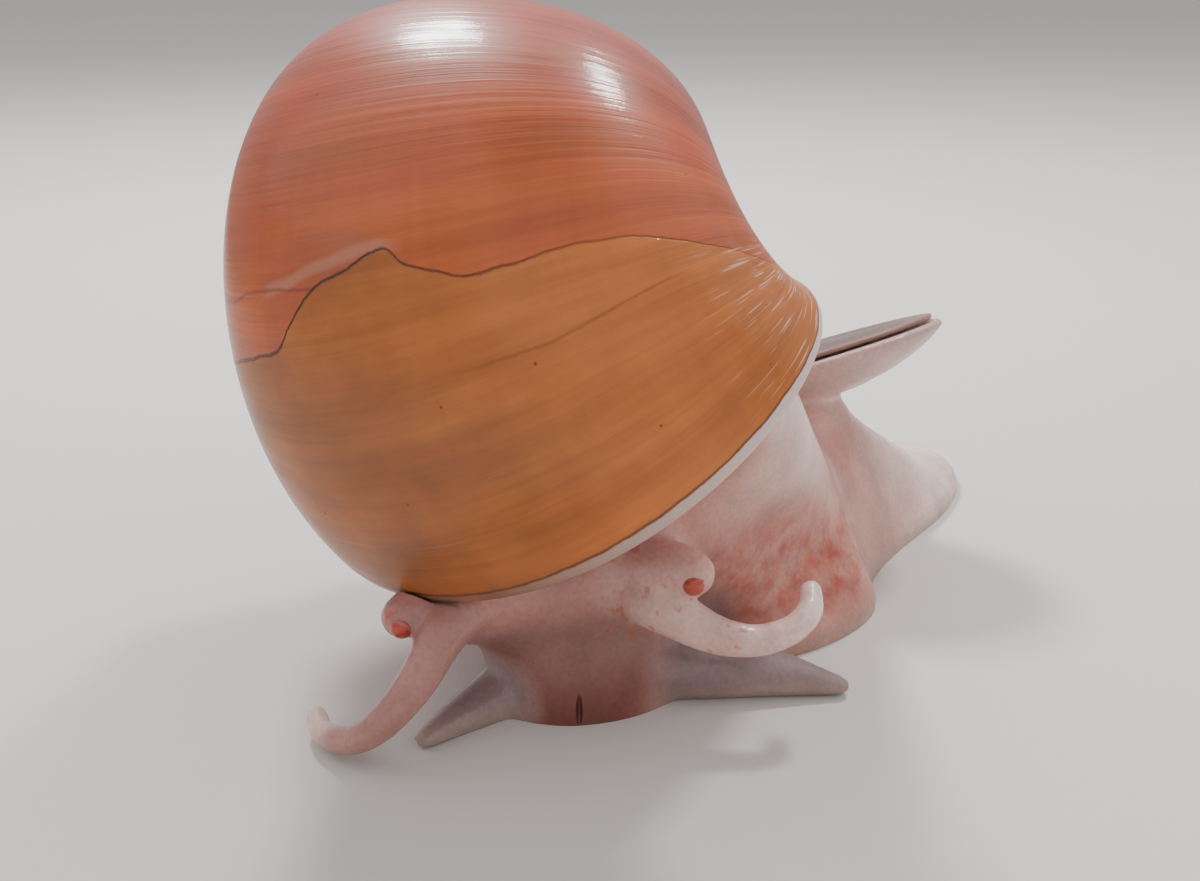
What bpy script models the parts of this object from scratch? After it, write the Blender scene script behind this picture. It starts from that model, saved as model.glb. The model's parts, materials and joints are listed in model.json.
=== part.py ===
"""Life-size apple snail, crawling: a coiled shell over a broad foot, with the head lowered to the floor.

The snail faces -Y, its tail trails towards +X and +Y, and its sole lies flat on z = 0.
Lengths below are in millimetres and MM turns them into metres.
Left and right are the snail's own.
"""

import math

import bmesh
import bpy
from mathutils import Euler, Matrix, Vector

MM = 0.001
GAP = 0.3  # clearance between pieces that touch
FOOTPRINT_SHIFT = Vector((0.0, -6.7, 0.0))  # puts the middle of the whole snail's footprint at the origin

# The shell: a ring is carried round the coiling axis, turning, shrinking and climbing to the apex.
WHORL_RATIO = 1.96  # growth in size over one turn
LIP_HALF_LENGTH = 23.8
LIP_HALF_WIDTH = 14.2
LIP_RADIUS = 17.0  # from the coiling axis to the middle of the mouth
LIP_DROP = 37.9  # from the apex down the axis to the middle of the mouth
LIP_TILT = math.radians(-22.4)
LIP_EGG = 0.10  # how much narrower the mouth is at its far end
LIP_SLANT_LONG = -0.17  # how far growth lines lean along the mouth, in radians of turn
LIP_SLANT_WIDE = -0.16
WHORL_SHARES = (0.62, 1.25, 2.0, 2.8, 4.4)  # turns before the lip at which each stretch of the tube starts
WHORL_STEPS = (10, 11, 16, 22, 26)  # degrees between the rings of each stretch
WHORL_SIDES = (36, 32, 22, 16, 11)
WHORL_INSETS = (0.0, 0.15, 0.3, 0.42, 0.52)  # how far each older stretch stands in from the true outline
WHORL_OVERLAP = 0.15  # radians by which a stretch runs on inside the next one
WALL = 1.2  # shell thickness at the mouth
CAVITY_TURN = 1.15  # radians of whorl that are open behind the lip
SHELL_TURN_XYZ = tuple(math.radians(a) for a in (100.8, 32.2, -112.0))
SHELL_PIVOT = Vector((-12.5, -2.2, 35.6))  # a point on the axis, in the snail's frame
PIVOT_DROP = 29.7  # how far below the apex that point lies

# The foot: stations along its middle line, as (distance, half width, height of the back).
FOOT_FRONT = Vector((-2.6, -4.2, 0.0))
FOOT_AHEAD = Vector((0.6, 0.8, 0.0))  # the way the stations run, from the head to the tail
FOOT_STATIONS = (
    (-2.0, 8.0, 2.2),
    (0.0, 12.0, 4.6),
    (4.0, 14.8, 9.0),
    (9.0, 16.6, 13.0),
    (14.5, 17.2, 15.9),
    (18.6, 16.4, 17.0),
    (20.4, 14.6, 17.2),
    (26.0, 12.9, 17.8),
    (32.0, 12.2, 15.6),
    (38.0, 12.0, 11.8),
    (44.0, 11.8, 8.4),
    (50.0, 10.8, 5.2),
    (55.0, 9.0, 3.4),
    (59.0, 6.0, 2.4),
    (61.0, 2.4, 1.9),
)
FOOT_EDGE = 1.5  # thickness of the sole's margin
FOOT_RIDGE = 0.3  # where the back is highest, as a share of the half width towards the snail's left
FOOT_BREADTH = 2.0  # larger for a broader back
FOOT_FLARE = 1.25  # larger for a thinner, more flared margin
FOOT_DEPTH = 1.5  # how far the foot is drawn below the floor, before its sole is cut flat

# Limbs: stations along each one's middle line, as (x, y, z, radius).
NECK_MIDDLE = ((-14, -17, 36, 8.0), (-9, -15, 27.5, 8.8), (-3, -7, 15.5, 10.5), (4, 2, 6, 11.0))
NECK_HEADWARD = ((-23, -16, 28, 6.0), (-18, -14.8, 20.5, 6.5), (-13, -13.5, 12, 8.0), (-9, -10, 7, 7.5))
NECK_TAILWARD = (
    (-3, -19, 38, 6.5),
    (0.5, -17, 31.5, 7.0),
    (3.4, -9.5, 24.5, 8.0),
    (6.0, -1.0, 16, 9.0),
    (9.0, 6.5, 8, 9.5),
)
BROW = ((-19, -19.5, 9.8, 3.4), (-14, -18.3, 11.2, 4.6), (-6, -17.6, 12.2, 4.6), (-2, -18.6, 12.6, 3.2))
SNOUT = ((-8.0, -12.5, 10, 9.0), (-7.4, -13.8, 5, 9.8), (-7.2, -14.2, 0.5, 10.4))
PALP_RIGHT = ((-10, -14.5, 1.6, 4.2), (-15, -18.5, 1.3, 3), (-19, -22.8, 1.0, 1.8), (-21.4, -25.8, 0.8, 1))
PALP_LEFT = ((-4, -14.5, 3.0, 4.8), (2.5, -15.0, 2.6, 4.3), (9.0, -15.7, 1.7, 2.7), (15.4, -16.8, 0.9, 1.0))
TENTACLE_RIGHT = (
    (-16.5, -19.5, 11.4, 2.8),
    (-19.2, -24.4, 10.6, 2.1),
    (-21.6, -28.0, 7.4, 1.7),
    (-24.4, -29.4, 4.4, 1.45),
    (-27.2, -28.4, 2.3, 1.25),
    (-29.8, -25.9, 1.5, 1.1),
    (-30.9, -23.4, 1.7, 1.0),
)
TENTACLE_LEFT = (
    (-4.5, -18.5, 12.0, 3.0),
    (-1.0, -21.4, 11.0, 2.3),
    (3.0, -22.6, 9.2, 1.75),
    (6.4, -22.8, 8.6, 1.45),
    (9.4, -22.4, 9.2, 1.3),
    (11.4, -20.9, 10.3, 1.2),
    (11.8, -18.6, 11.2, 1.1),
)
EYESTALK_RIGHT = ((-17.6, -18.5, 11.6, 2.8), (-21.4, -22.0, 11.7, 2.2), (-23.0, -23.6, 11.3, 1.9))
EYESTALK_LEFT = ((-4.4, -18.2, 13.4, 2.8), (-0.6, -20.8, 14.6, 2.3), (1.3, -21.8, 14.4, 2.0))
SIPHON = ((-2.5, -17, 30, 3.6), (1.2, -22.0, 28.8, 3.0), (3.4, -25.6, 28.2, 2.5))
NUCHAL_LOBE_RIGHT = ((-18, -16, 20, 3.6), (-22.4, -18.6, 19.0, 2.6), (-24.4, -20.0, 18.4, 1.9))
LOBE_ROOT = ((15, 19.5, 6, 7.0), (14.5, 19.0, 9, 7.2), (14, 19, 12, 7.8))
ROUND_END = (0.35, 0.75, 0.95)  # radii of the rings that round a limb's end, as shares of its own
PALP_FLATNESS = 0.8
SNOUT_FLATNESS = 0.75
SIPHON_FLATNESS = 0.65
HEAD_CENTRE = (-10.5, -13.5, 9.5)
HEAD_RADII = (10.0, 8.5, 6.5)
HEAD_TURN = (0, -8, 0)

# The operculum: a horny oval plate on a pad of flesh over the tail.
OPERCULUM_CENTRE = Vector((14.2, 20.4, 20.2))
OPERCULUM_UP = Vector((-0.285, 0.247, 0.926)).normalized()
OPERCULUM_LONG = Vector((0.958, 0.098, 0.269)).cross(OPERCULUM_UP).cross(-OPERCULUM_UP).normalized()
OPERCULUM_HALF_LENGTH = 17.5
OPERCULUM_HALF_WIDTH = 12.5
OPERCULUM_THICK = 0.7
PAD_THICK = 4.6
PAD_PROFILE = ((4.6, 0.42), (3.7, 0.64), (2.5, 0.82), (1.3, 0.94), (0.5, 1.0), (0.0, 0.98))  # (depth, share)
PAD_RIM = 1.2  # how far the plate stands in from the pad's edge
PAD_MARGIN = 1.2  # how far outside the pad the cut that frees it runs

EYE_RIGHT = Vector((-23.0, -25.0, 10.9))
EYE_LEFT = Vector((1.3, -23.3, 14.0))
EYE_RADIUS = 0.95
MOUTH = Vector((-8.3, -22.6, 1.6))  # the slit between the palps
MOUTH_RADII = (0.45, 1.6, 2.2)

MANTLE_THICK = 2.8  # of the collar that lines the shell's mouth
MANTLE_TURNS = (-0.62, -0.12)  # radians of whorl behind the lip
PLUG_TURN = -0.5  # where the flesh that fills the shell behind the collar ends
INNER_WHORL_TURNS = (-2.8, 2.6)  # radians round one whole turn back, where the older whorl bulges in

BODY_VOXEL = 0.8  # grain of the broad forms, which are smoothed for longer so that they flow together
BODY_SMOOTHING = 25
VOXEL = 0.5
SMOOTHING = 5
FLESH_TRIANGLES = 4800
NECK_SHARE = 0.45  # of its triangles that the neck keeps, most of which lie out of sight

# Thin cuts that part the flesh, as (centre, direction across the cut, radius).
NECK_CUT = ((-5, -11, 19), (-0.204, -0.195, 0.959), 34.0)
HEAD_CUT = ((-5.0, -11.0, 7), (0.12, 0.985, 0.12), 27.0)
SNOUT_CUT = ((-8.3, -15, 7.0), (0, -0.3, 0.95), 15.5)
TAIL_CUT = (FOOT_FRONT + FOOT_AHEAD * 42.5, FOOT_AHEAD, 15.5)

# Round cuts, which free what lies inside an oval: (centre, half lengths).
EYESTALK_RIGHT_CUT = ((-23.2, -24.0, 11.3), (2.9, 2.9, 2.9))
EYESTALK_LEFT_CUT = ((1.2, -21.9, 14.5), (3.3, 3.0, 3.0))
SIPHON_CUT = ((3.0, -25.6, 28.4), (4.2, 4.2, 4.2))
NUCHAL_LOBE_CUT = ((-24.2, -20.0, 18.4), (3.5, 3.5, 3.5))

# One point inside each piece that a cut takes off.
NECK_INSIDE = (-11, -14.5, 26)
HEAD_INSIDE = (-9, -15, 11)
SNOUT_INSIDE = (-9.5, -15, 3)
TAIL_INSIDE = (27, 35, 2)
LOBE_INSIDE = (14, 20, 18.5)
EYESTALK_RIGHT_INSIDE = (-22.0, -22.6, 11.8)
EYESTALK_LEFT_INSIDE = (0.2, -21.0, 14.9)
SIPHON_INSIDE = (2.6, -24.5, 28.6)
NUCHAL_LOBE_INSIDE = (-23.4, -19.4, 18.7)

PALP_SHARE = 0.42  # how far along its middle line a palp is cut from the snout
LIMB_SPREAD = 1.9  # radius of the disc that cuts a limb, in radii of the limb
TENTACLE_SHARES = (0.27, 0.5, 0.75)


def clear_scene():
    for obj in list(bpy.data.objects):
        bpy.data.objects.remove(obj)


def new_collection(name):
    made = bpy.data.collections.new(name)
    bpy.context.scene.collection.children.link(made)
    return made


def add_object(name, mesh, collection, material=None):
    obj = bpy.data.objects.new(name, mesh)
    collection.objects.link(obj)
    if material:
        mesh.materials.append(material)
    return obj


def surface(name, colour, roughness, metallic=0.0):
    material = bpy.data.materials.new(name)
    material.use_nodes = True
    shader = material.node_tree.nodes["Principled BSDF"]
    shader.inputs["Base Color"].default_value = (*colour, 1.0)
    shader.inputs["Roughness"].default_value = roughness
    shader.inputs["Metallic"].default_value = metallic
    return material


def loft(name, rings, collection):
    """A closed mesh through rings of equal count, with a fan of faces to its middle at each end."""
    bm = bmesh.new()
    rows = [[bm.verts.new(point * MM) for point in ring] for ring in rings]
    count = len(rows[0])
    for row, after in zip(rows, rows[1:]):
        for i in range(count):
            j = (i + 1) % count
            bm.faces.new((row[i], row[j], after[j], after[i]))
    for row in (rows[0], rows[-1]):
        middle = bm.verts.new(sum((vert.co for vert in row), Vector()) / count)
        for i in range(count):
            bm.faces.new((row[i], row[(i + 1) % count], middle))
    bmesh.ops.recalc_face_normals(bm, faces=bm.faces)
    bmesh.ops.triangulate(bm, faces=bm.faces)
    mesh = bpy.data.meshes.new(name)
    bm.to_mesh(mesh)
    bm.free()
    return add_object(name, mesh, collection)


def ball(name, centre, radii, collection, turn=(0.0, 0.0, 0.0), cuts=3):
    """An ellipsoid, with turn as Euler angles in degrees."""
    bm = bmesh.new()
    bmesh.ops.create_icosphere(bm, subdivisions=cuts, radius=1.0)
    spin = Euler([math.radians(a) for a in turn]).to_matrix().to_4x4()
    place = Matrix.Translation(Vector(centre) * MM) @ spin @ Matrix.Diagonal((*(Vector(radii) * MM), 1.0))
    bmesh.ops.transform(bm, matrix=place, verts=bm.verts)
    mesh = bpy.data.meshes.new(name)
    bm.to_mesh(mesh)
    bm.free()
    return add_object(name, mesh, collection)


def smooth_path(points, per_span):
    """Points on a Catmull-Rom curve through the given ones. Each is a tuple of numbers of any length."""
    ends = [[2 * a - b for a, b in zip(points[0], points[1])], *points]
    ends.append([2 * a - b for a, b in zip(points[-1], points[-2])])
    found = []
    for four in zip(ends, ends[1:], ends[2:], ends[3:]):
        for step in range(per_span):
            t = step / per_span
            point = []
            for a, b, c, d in zip(*four):
                square = 2 * a - 5 * b + 4 * c - d
                cube = 3 * b - a - 3 * c + d
                point.append(0.5 * (2 * b + (c - a) * t + square * t**2 + cube * t**3))
            found.append(point)
    found.append(list(points[-1]))
    return found


def limb(name, stations, collection, sides=16, flatness=1.0, flat_way=(0, 0, 1), per_span=4):
    """A tapering limb with round ends, through (x, y, z, radius) stations and thinned along flat_way."""
    path = smooth_path(stations, per_span)
    rings = []
    for i, (x, y, z, radius) in enumerate(path):
        before, after = path[max(i - 1, 0)], path[min(i + 1, len(path) - 1)]
        ahead = (Vector(after[:3]) - Vector(before[:3])).normalized()
        thin = Vector(flat_way) - ahead * ahead.dot(Vector(flat_way))
        thin.normalize()
        wide = ahead.cross(thin)
        rings.append((Vector((x, y, z)), ahead, wide, thin, radius))
    sections = []
    for share in ROUND_END:
        centre, ahead, wide, thin, radius = rings[0]
        out = radius * math.sqrt(1 - share**2) * flatness
        sections.append((centre - ahead * out, wide, thin, radius * share))
    sections += [(centre, wide, thin, radius) for centre, _, wide, thin, radius in rings]
    for share in ROUND_END[::-1]:
        centre, ahead, wide, thin, radius = rings[-1]
        out = radius * math.sqrt(1 - share**2) * flatness
        sections.append((centre + ahead * out, wide, thin, radius * share))
    turns = [2 * math.pi * i / sides for i in range(sides)]
    drawn = [
        [centre + wide * radius * math.cos(a) + thin * radius * flatness * math.sin(a) for a in turns]
        for centre, wide, thin, radius in sections
    ]
    return loft(name, drawn, collection)


def shell_matrix():
    """Carries the shell's own frame, with its apex at the origin and its axis down -Z, to the snail's."""
    return (
        Matrix.Translation(SHELL_PIVOT)
        @ Euler(SHELL_TURN_XYZ).to_matrix().to_4x4()
        @ Matrix.Translation((0, 0, PIVOT_DROP))
    )


def whorl_ring(turn, sides, inset=0.0):
    """The whorl's outline when the shell was `turn` radians of growth from now, which is 0 at the lip."""
    growth = math.exp(math.log(WHORL_RATIO) / (2 * math.pi) * turn)
    place = shell_matrix()
    inset = inset / growth
    ring = []
    for i in range(sides):
        a = 2 * math.pi * i / sides
        long, wide = math.sin(a), math.cos(a) * (1 - LIP_EGG * math.sin(a))
        x, y = (LIP_HALF_WIDTH - inset) * wide, (LIP_HALF_LENGTH - inset) * long
        radius = LIP_RADIUS + x * math.cos(LIP_TILT) - y * math.sin(LIP_TILT)
        rise = -LIP_DROP + x * math.sin(LIP_TILT) + y * math.cos(LIP_TILT)
        angle = -turn + LIP_SLANT_LONG * long + LIP_SLANT_WIDE * math.cos(a)
        ring.append(place @ (Vector((radius * math.cos(angle), radius * math.sin(angle), rise)) * growth))
    return ring


def whorl(name, start, end, step, sides, collection, inset=0.0):
    """A stretch of whorl as a closed tube, between two turns in radians."""
    count = max(2, round((end - start) / step))
    rings = [whorl_ring(start + (end - start) * i / count, sides, inset) for i in range(count + 1)]
    return loft(name, rings, collection)


def combine(base, collection, operation):
    """Applies one Boolean of every object in the collection to the base, then removes those objects."""
    modifier = base.modifiers.new("combine", "BOOLEAN")
    modifier.operation = operation
    modifier.operand_type = "COLLECTION"
    modifier.collection = collection
    modifier.solver = "MANIFOLD"
    apply_modifiers(base)
    for obj in list(collection.objects):
        bpy.data.objects.remove(obj)


def apply_modifiers(obj):
    graph = bpy.context.evaluated_depsgraph_get()
    made = bpy.data.meshes.new_from_object(obj.evaluated_get(graph))
    obj.modifiers.clear()
    obj.data = made


def keep_largest(obj):
    """Drops every closed surface of the mesh but the one that reaches furthest."""
    bm = bmesh.new()
    bm.from_mesh(obj.data)
    islands = loose_parts(bm)
    islands.sort(key=len, reverse=True)
    bmesh.ops.delete(bm, geom=[v for part in islands[1:] for v in part], context="VERTS")
    bm.to_mesh(obj.data)
    bm.free()


def loose_parts(bm):
    """Lists of vertices, one for each connected piece of the mesh."""
    unseen = set(bm.verts)
    parts = []
    while unseen:
        start = unseen.pop()
        part, edge = [start], [start]
        while edge:
            for link in edge.pop().link_edges:
                for vert in link.verts:
                    if vert in unseen:
                        unseen.remove(vert)
                        part.append(vert)
                        edge.append(vert)
        parts.append(part)
    return parts


def make_shell(parts, cutters, material):
    turn = 2 * math.pi
    starts = [-share * turn for share in WHORL_SHARES]
    body = whorl("shell", starts[0], 0.0, math.radians(WHORL_STEPS[0]), WHORL_SIDES[0], parts)
    whorl("mouth", -CAVITY_TURN, 0.1, math.radians(11), 32, cutters, inset=WALL)
    combine(body, cutters, "DIFFERENCE")
    for i in range(1, len(starts)):
        end = starts[i - 1] + WHORL_OVERLAP
        step = math.radians(WHORL_STEPS[i])
        whorl("whorl", starts[i], end, step, WHORL_SIDES[i], cutters, inset=WHORL_INSETS[i])
    combine(body, cutters, "UNION")
    keep_largest(body)
    finish(body, material, 50)
    return body


def finish(obj, material, sharp):
    """Gives the piece its one material, and smooth shading that breaks at edges over `sharp` degrees."""
    obj.data.materials.clear()
    obj.data.materials.append(material)
    obj.data.shade_smooth()
    obj.data.set_sharp_from_angle(angle=math.radians(sharp))


def foot_section(distance, half_width, back):
    """One slice of the foot: a flat sole with a thin margin, rising to the back in the middle."""
    across = Vector((FOOT_AHEAD.y, -FOOT_AHEAD.x, 0))
    centre = FOOT_FRONT + FOOT_AHEAD * distance
    steps = 12
    top, sole = [], []
    for i in range(steps + 1):
        q = -1 + 2 * i / steps
        away = (q - FOOT_RIDGE) / (1 - math.copysign(FOOT_RIDGE, q - FOOT_RIDGE))
        lift = FOOT_EDGE + (back - FOOT_EDGE) * max(0.0, 1 - abs(away) ** FOOT_BREADTH) ** FOOT_FLARE
        top.append(centre + across * half_width * q + Vector((0, 0, lift)))
        sole.append(centre + across * half_width * q + Vector((0, 0, -FOOT_DEPTH)))
    return top + sole[::-1]


def operculum_turn():
    """Euler angles, in degrees, that lay an oval made along X and flat in XY onto the pad."""
    wide = OPERCULUM_UP.cross(OPERCULUM_LONG)
    frame = Matrix((OPERCULUM_LONG, wide, OPERCULUM_UP)).transposed()
    return [math.degrees(a) for a in frame.to_euler()]


def pad_ring(rise, share):
    """A level of the operculum's pad, `rise` below the plate's underside."""
    wide = OPERCULUM_UP.cross(OPERCULUM_LONG)
    ring = []
    for i in range(40):
        a = 2 * math.pi * i / 40
        along = OPERCULUM_LONG * OPERCULUM_HALF_LENGTH * math.cos(a) * share
        aside = wide * OPERCULUM_HALF_WIDTH * math.sin(a) * share
        ring.append(OPERCULUM_CENTRE + along + aside - OPERCULUM_UP * rise)
    return ring


def make_foot(blobs):
    stations = smooth_path(FOOT_STATIONS, 3)
    loft("foot", [foot_section(*station) for station in stations], blobs)


def body_blobs(blobs):
    """The broad forms of the body, overlapping one another."""
    make_foot(blobs)
    for stations in (NECK_MIDDLE, NECK_HEADWARD, NECK_TAILWARD, LOBE_ROOT):
        limb("neck", stations, blobs, sides=20)
    limb("brow", BROW, blobs)
    limb("snout", SNOUT, blobs, sides=20, flatness=SNOUT_FLATNESS)
    ball("head", HEAD_CENTRE, HEAD_RADII, blobs, turn=HEAD_TURN)


def fine_blobs(blobs):
    """The foot's thin margin again, the limbs and lobes, and what fills the shell's mouth."""
    make_foot(blobs)
    for stations in (PALP_RIGHT, PALP_LEFT):
        limb("palp", stations, blobs, flatness=PALP_FLATNESS)
    for stations in (TENTACLE_RIGHT, TENTACLE_LEFT, EYESTALK_RIGHT, EYESTALK_LEFT):
        limb("limb", stations, blobs)
    for stations in (SIPHON, NUCHAL_LOBE_RIGHT):
        limb("lobe", stations, blobs, flatness=SIPHON_FLATNESS)
    loft("pad", [pad_ring(rise, share) for rise, share in PAD_PROFILE], blobs)
    whorl("plug", -CAVITY_TURN, PLUG_TURN, math.radians(9), 32, blobs, inset=WALL + GAP)


def melt(blobs, voxel, rounds):
    """Joins the overlapping forms into one smooth closed body, which is then alone in the collection."""
    bm = bmesh.new()
    for obj in blobs.objects:
        bm.from_mesh(obj.data)
    mesh = bpy.data.meshes.new("flesh")
    bm.to_mesh(mesh)
    bm.free()
    for obj in list(blobs.objects):
        bpy.data.objects.remove(obj)
    flesh = add_object("flesh", mesh, blobs)
    remesh = flesh.modifiers.new("melt", "REMESH")
    remesh.mode = "VOXEL"
    remesh.voxel_size = voxel * MM
    relax = flesh.modifiers.new("relax", "SMOOTH")
    relax.factor = 0.5
    relax.iterations = rounds
    apply_modifiers(flesh)
    return flesh


def flat_sole(flesh):
    """Thins the body's mesh and cuts it off level at the floor."""
    thin = flesh.modifiers.new("thin", "DECIMATE")
    thin.ratio = FLESH_TRIANGLES / (2 * len(flesh.data.polygons))
    apply_modifiers(flesh)
    bm = bmesh.new()
    bm.from_mesh(flesh.data)
    everything = [*bm.verts, *bm.edges, *bm.faces]
    cut = bmesh.ops.bisect_plane(
        bm, geom=everything, plane_co=(0, 0, 0), plane_no=(0, 0, -1), clear_outer=True
    )
    rim = [e for e in cut["geom_cut"] if isinstance(e, bmesh.types.BMEdge)]
    bmesh.ops.triangle_fill(bm, edges=rim, use_beauty=True, use_dissolve=False)
    bmesh.ops.recalc_face_normals(bm, faces=bm.faces)
    bmesh.ops.triangulate(bm, faces=bm.faces)
    bm.to_mesh(flesh.data)
    bm.free()


def slice_disc(centre, across, radius, cutters):
    """A disc as thin as the gap between pieces, to cut the flesh across."""
    bm = bmesh.new()
    radius = radius * MM
    bmesh.ops.create_cone(bm, cap_ends=True, segments=32, radius1=radius, radius2=radius, depth=GAP * MM)
    spin = Vector(across).to_track_quat("Z", "Y").to_matrix().to_4x4()
    bmesh.ops.transform(bm, matrix=Matrix.Translation(Vector(centre) * MM) @ spin, verts=bm.verts)
    mesh = bpy.data.meshes.new("slice")
    bm.to_mesh(mesh)
    bm.free()
    return add_object("slice", mesh, cutters)


def slice_round(centre, size, cutters, turn=(0.0, 0.0, 0.0)):
    """An oval shell as thin as the gap, which frees what lies inside it."""
    bm = bmesh.new()
    for margin in (0.0, GAP):
        made = bmesh.ops.create_icosphere(bm, subdivisions=3, radius=1.0)["verts"]
        bmesh.ops.scale(bm, vec=Vector([length + margin for length in size]) * MM, verts=made)
        if margin == 0.0:
            bmesh.ops.reverse_faces(bm, faces=list({f for v in made for f in v.link_faces}))
    spin = Euler([math.radians(a) for a in turn]).to_matrix().to_4x4()
    bmesh.ops.transform(bm, matrix=Matrix.Translation(Vector(centre) * MM) @ spin, verts=bm.verts)
    mesh = bpy.data.meshes.new("slice")
    bm.to_mesh(mesh)
    bm.free()
    return add_object("slice", mesh, cutters)


def slice_limb(stations, share, cutters):
    """Cuts a limb across at a share of its length, and returns a point just beyond the cut."""
    path = smooth_path(stations, 16)
    last = len(path) - 1
    at = round(share * last)
    ahead = Vector(path[min(at + 1, last)][:3]) - Vector(path[max(at - 1, 0)][:3])
    slice_disc(path[at][:3], ahead, path[at][3] * LIMB_SPREAD, cutters)
    return path[min(at + 4, last)][:3]


def inner_whorl(cutters):
    """The whorl that bulges into the shell's mouth, larger by the gap."""
    start, end = [turn - 2 * math.pi for turn in INNER_WHORL_TURNS]
    whorl("inner_whorl", start, end, math.radians(12), 36, cutters, inset=-GAP)


def clear_of_shell(cutters, scratch):
    """What cuts the flesh back to a gap from the shell round its mouth, and from the collar inside it."""
    growth = whorl("round", -4.0, 0.02, math.radians(12), 32, cutters, inset=-GAP)
    behind = MANTLE_TURNS[0] - 0.02
    whorl("inside", -CAVITY_TURN + 0.25, behind, math.radians(12), 28, scratch, inset=WALL + GAP)
    combine(growth, scratch, "DIFFERENCE")
    hollow = WALL + MANTLE_THICK + 3 * GAP
    whorl("inside", -CAVITY_TURN + 0.3, 0.2, math.radians(12), 28, scratch, inset=hollow)
    combine(growth, scratch, "DIFFERENCE")
    inner_whorl(cutters)


def holds(piece, point):
    """Whether the point lies inside the piece's closed surface, by counting the walls above it."""
    upwards = Vector((0.07, 0.05, 0.996)).normalized()
    walls = 0
    found, near, _, _ = piece.ray_cast(point, upwards)
    while found:
        walls += 1
        found, near, _, _ = piece.ray_cast(near + upwards * MM * 0.001, upwards)
    return walls % 2 == 1


def part_off(whole, name, cutters, inside, parts):
    """Applies the cutters to the whole, and makes what then holds the `inside` point a piece of its own."""
    combine(whole, cutters, "DIFFERENCE")
    bm = bmesh.new()
    bm.from_mesh(whole.data)
    islands = sorted(({v.index for v in verts} for verts in loose_parts(bm)), key=len, reverse=True)
    bm.free()
    pieces = []
    for island in islands[:2]:
        bm = bmesh.new()
        bm.from_mesh(whole.data)
        bmesh.ops.delete(bm, geom=[v for v in bm.verts if v.index not in island], context="VERTS")
        mesh = bpy.data.meshes.new(name)
        bm.to_mesh(mesh)
        bm.free()
        pieces.append(add_object(name, mesh, parts))
    bpy.context.view_layer.update()
    taken = [piece for piece in pieces if holds(piece, Vector(inside) * MM)]
    if len(pieces) != 2 or len(taken) != 1:
        raise ValueError("the cut doesn't free the " + name)
    left = pieces[1 - pieces.index(taken[0])]
    whole.data = left.data
    bpy.data.objects.remove(left)
    taken[0].name = name
    return taken[0]


def make_operculum(parts, material):
    """A thin oval plate, domed a little, that lies a gap above its pad."""
    bm = bmesh.new()
    bmesh.ops.create_cone(bm, cap_ends=True, segments=36, radius1=1.0, radius2=0.97, depth=1.0)
    centre = OPERCULUM_CENTRE + OPERCULUM_UP * (OPERCULUM_THICK / 2 + GAP)
    spin = Euler([math.radians(a) for a in operculum_turn()]).to_matrix().to_4x4()
    size = (OPERCULUM_HALF_LENGTH - PAD_RIM, OPERCULUM_HALF_WIDTH - PAD_RIM, OPERCULUM_THICK)
    place = Matrix.Translation(centre * MM) @ spin @ Matrix.Diagonal((*(Vector(size) * MM), 1.0))
    bmesh.ops.transform(bm, matrix=place, verts=bm.verts)
    bmesh.ops.triangulate(bm, faces=bm.faces)
    mesh = bpy.data.meshes.new("operculum")
    bm.to_mesh(mesh)
    bm.free()
    finish(add_object("operculum", mesh, parts), material, 40)


def make_mantle(parts, cutters, material):
    """The edge of the mantle: a fleshy collar that lines the shell just behind the lip."""
    start, end = MANTLE_TURNS
    collar = whorl("mantle_collar", start, end, math.radians(9), 28, parts, inset=WALL + GAP)
    whorl("inside", start - 0.2, end + 0.2, math.radians(10), 28, cutters, inset=WALL + GAP + MANTLE_THICK)
    inner_whorl(cutters)
    combine(collar, cutters, "DIFFERENCE")
    keep_largest(collar)
    finish(collar, material, 40)


def divide(foot, parts, cutters):
    """Takes the pieces off the body one after another, and returns them all by name."""
    found = {"foot": foot}

    def take(name, whole, inside):
        found[name] = part_off(found[whole], name, cutters, inside, parts)

    slice_disc(*NECK_CUT, cutters)
    take("neck", "foot", NECK_INSIDE)
    pad = [length + PAD_MARGIN for length in (OPERCULUM_HALF_LENGTH, OPERCULUM_HALF_WIDTH, PAD_THICK / 2)]
    slice_round(OPERCULUM_CENTRE - OPERCULUM_UP * (PAD_THICK / 2), pad, cutters, operculum_turn())
    take("operculum_lobe", "foot", LOBE_INSIDE)
    slice_disc(*TAIL_CUT, cutters)
    take("tail", "foot", TAIL_INSIDE)
    slice_disc(*HEAD_CUT, cutters)
    take("head", "foot", HEAD_INSIDE)
    slice_disc(*SNOUT_CUT, cutters)
    take("snout", "head", SNOUT_INSIDE)
    for name, stations in (("palp_right", PALP_RIGHT), ("palp_left", PALP_LEFT)):
        take(name, "snout", slice_limb(stations, PALP_SHARE, cutters))
    for name, cut, inside in (
        ("eyestalk_right", EYESTALK_RIGHT_CUT, EYESTALK_RIGHT_INSIDE),
        ("eyestalk_left", EYESTALK_LEFT_CUT, EYESTALK_LEFT_INSIDE),
    ):
        slice_round(*cut, cutters)
        take(name, "head", inside)
    for name, stations in (("tentacle_right", TENTACLE_RIGHT), ("tentacle_left", TENTACLE_LEFT)):
        whole = "head"
        for i, share in enumerate(TENTACLE_SHARES):
            take(f"{name}_{i + 1}", whole, slice_limb(stations, share, cutters))
            whole = f"{name}_{i + 1}"
    slice_round(*SIPHON_CUT, cutters)
    take("siphon", "neck", SIPHON_INSIDE)
    slice_round(*NUCHAL_LOBE_CUT, cutters)
    take("nuchal_lobe_right", "neck", NUCHAL_LOBE_INSIDE)
    return found


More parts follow.
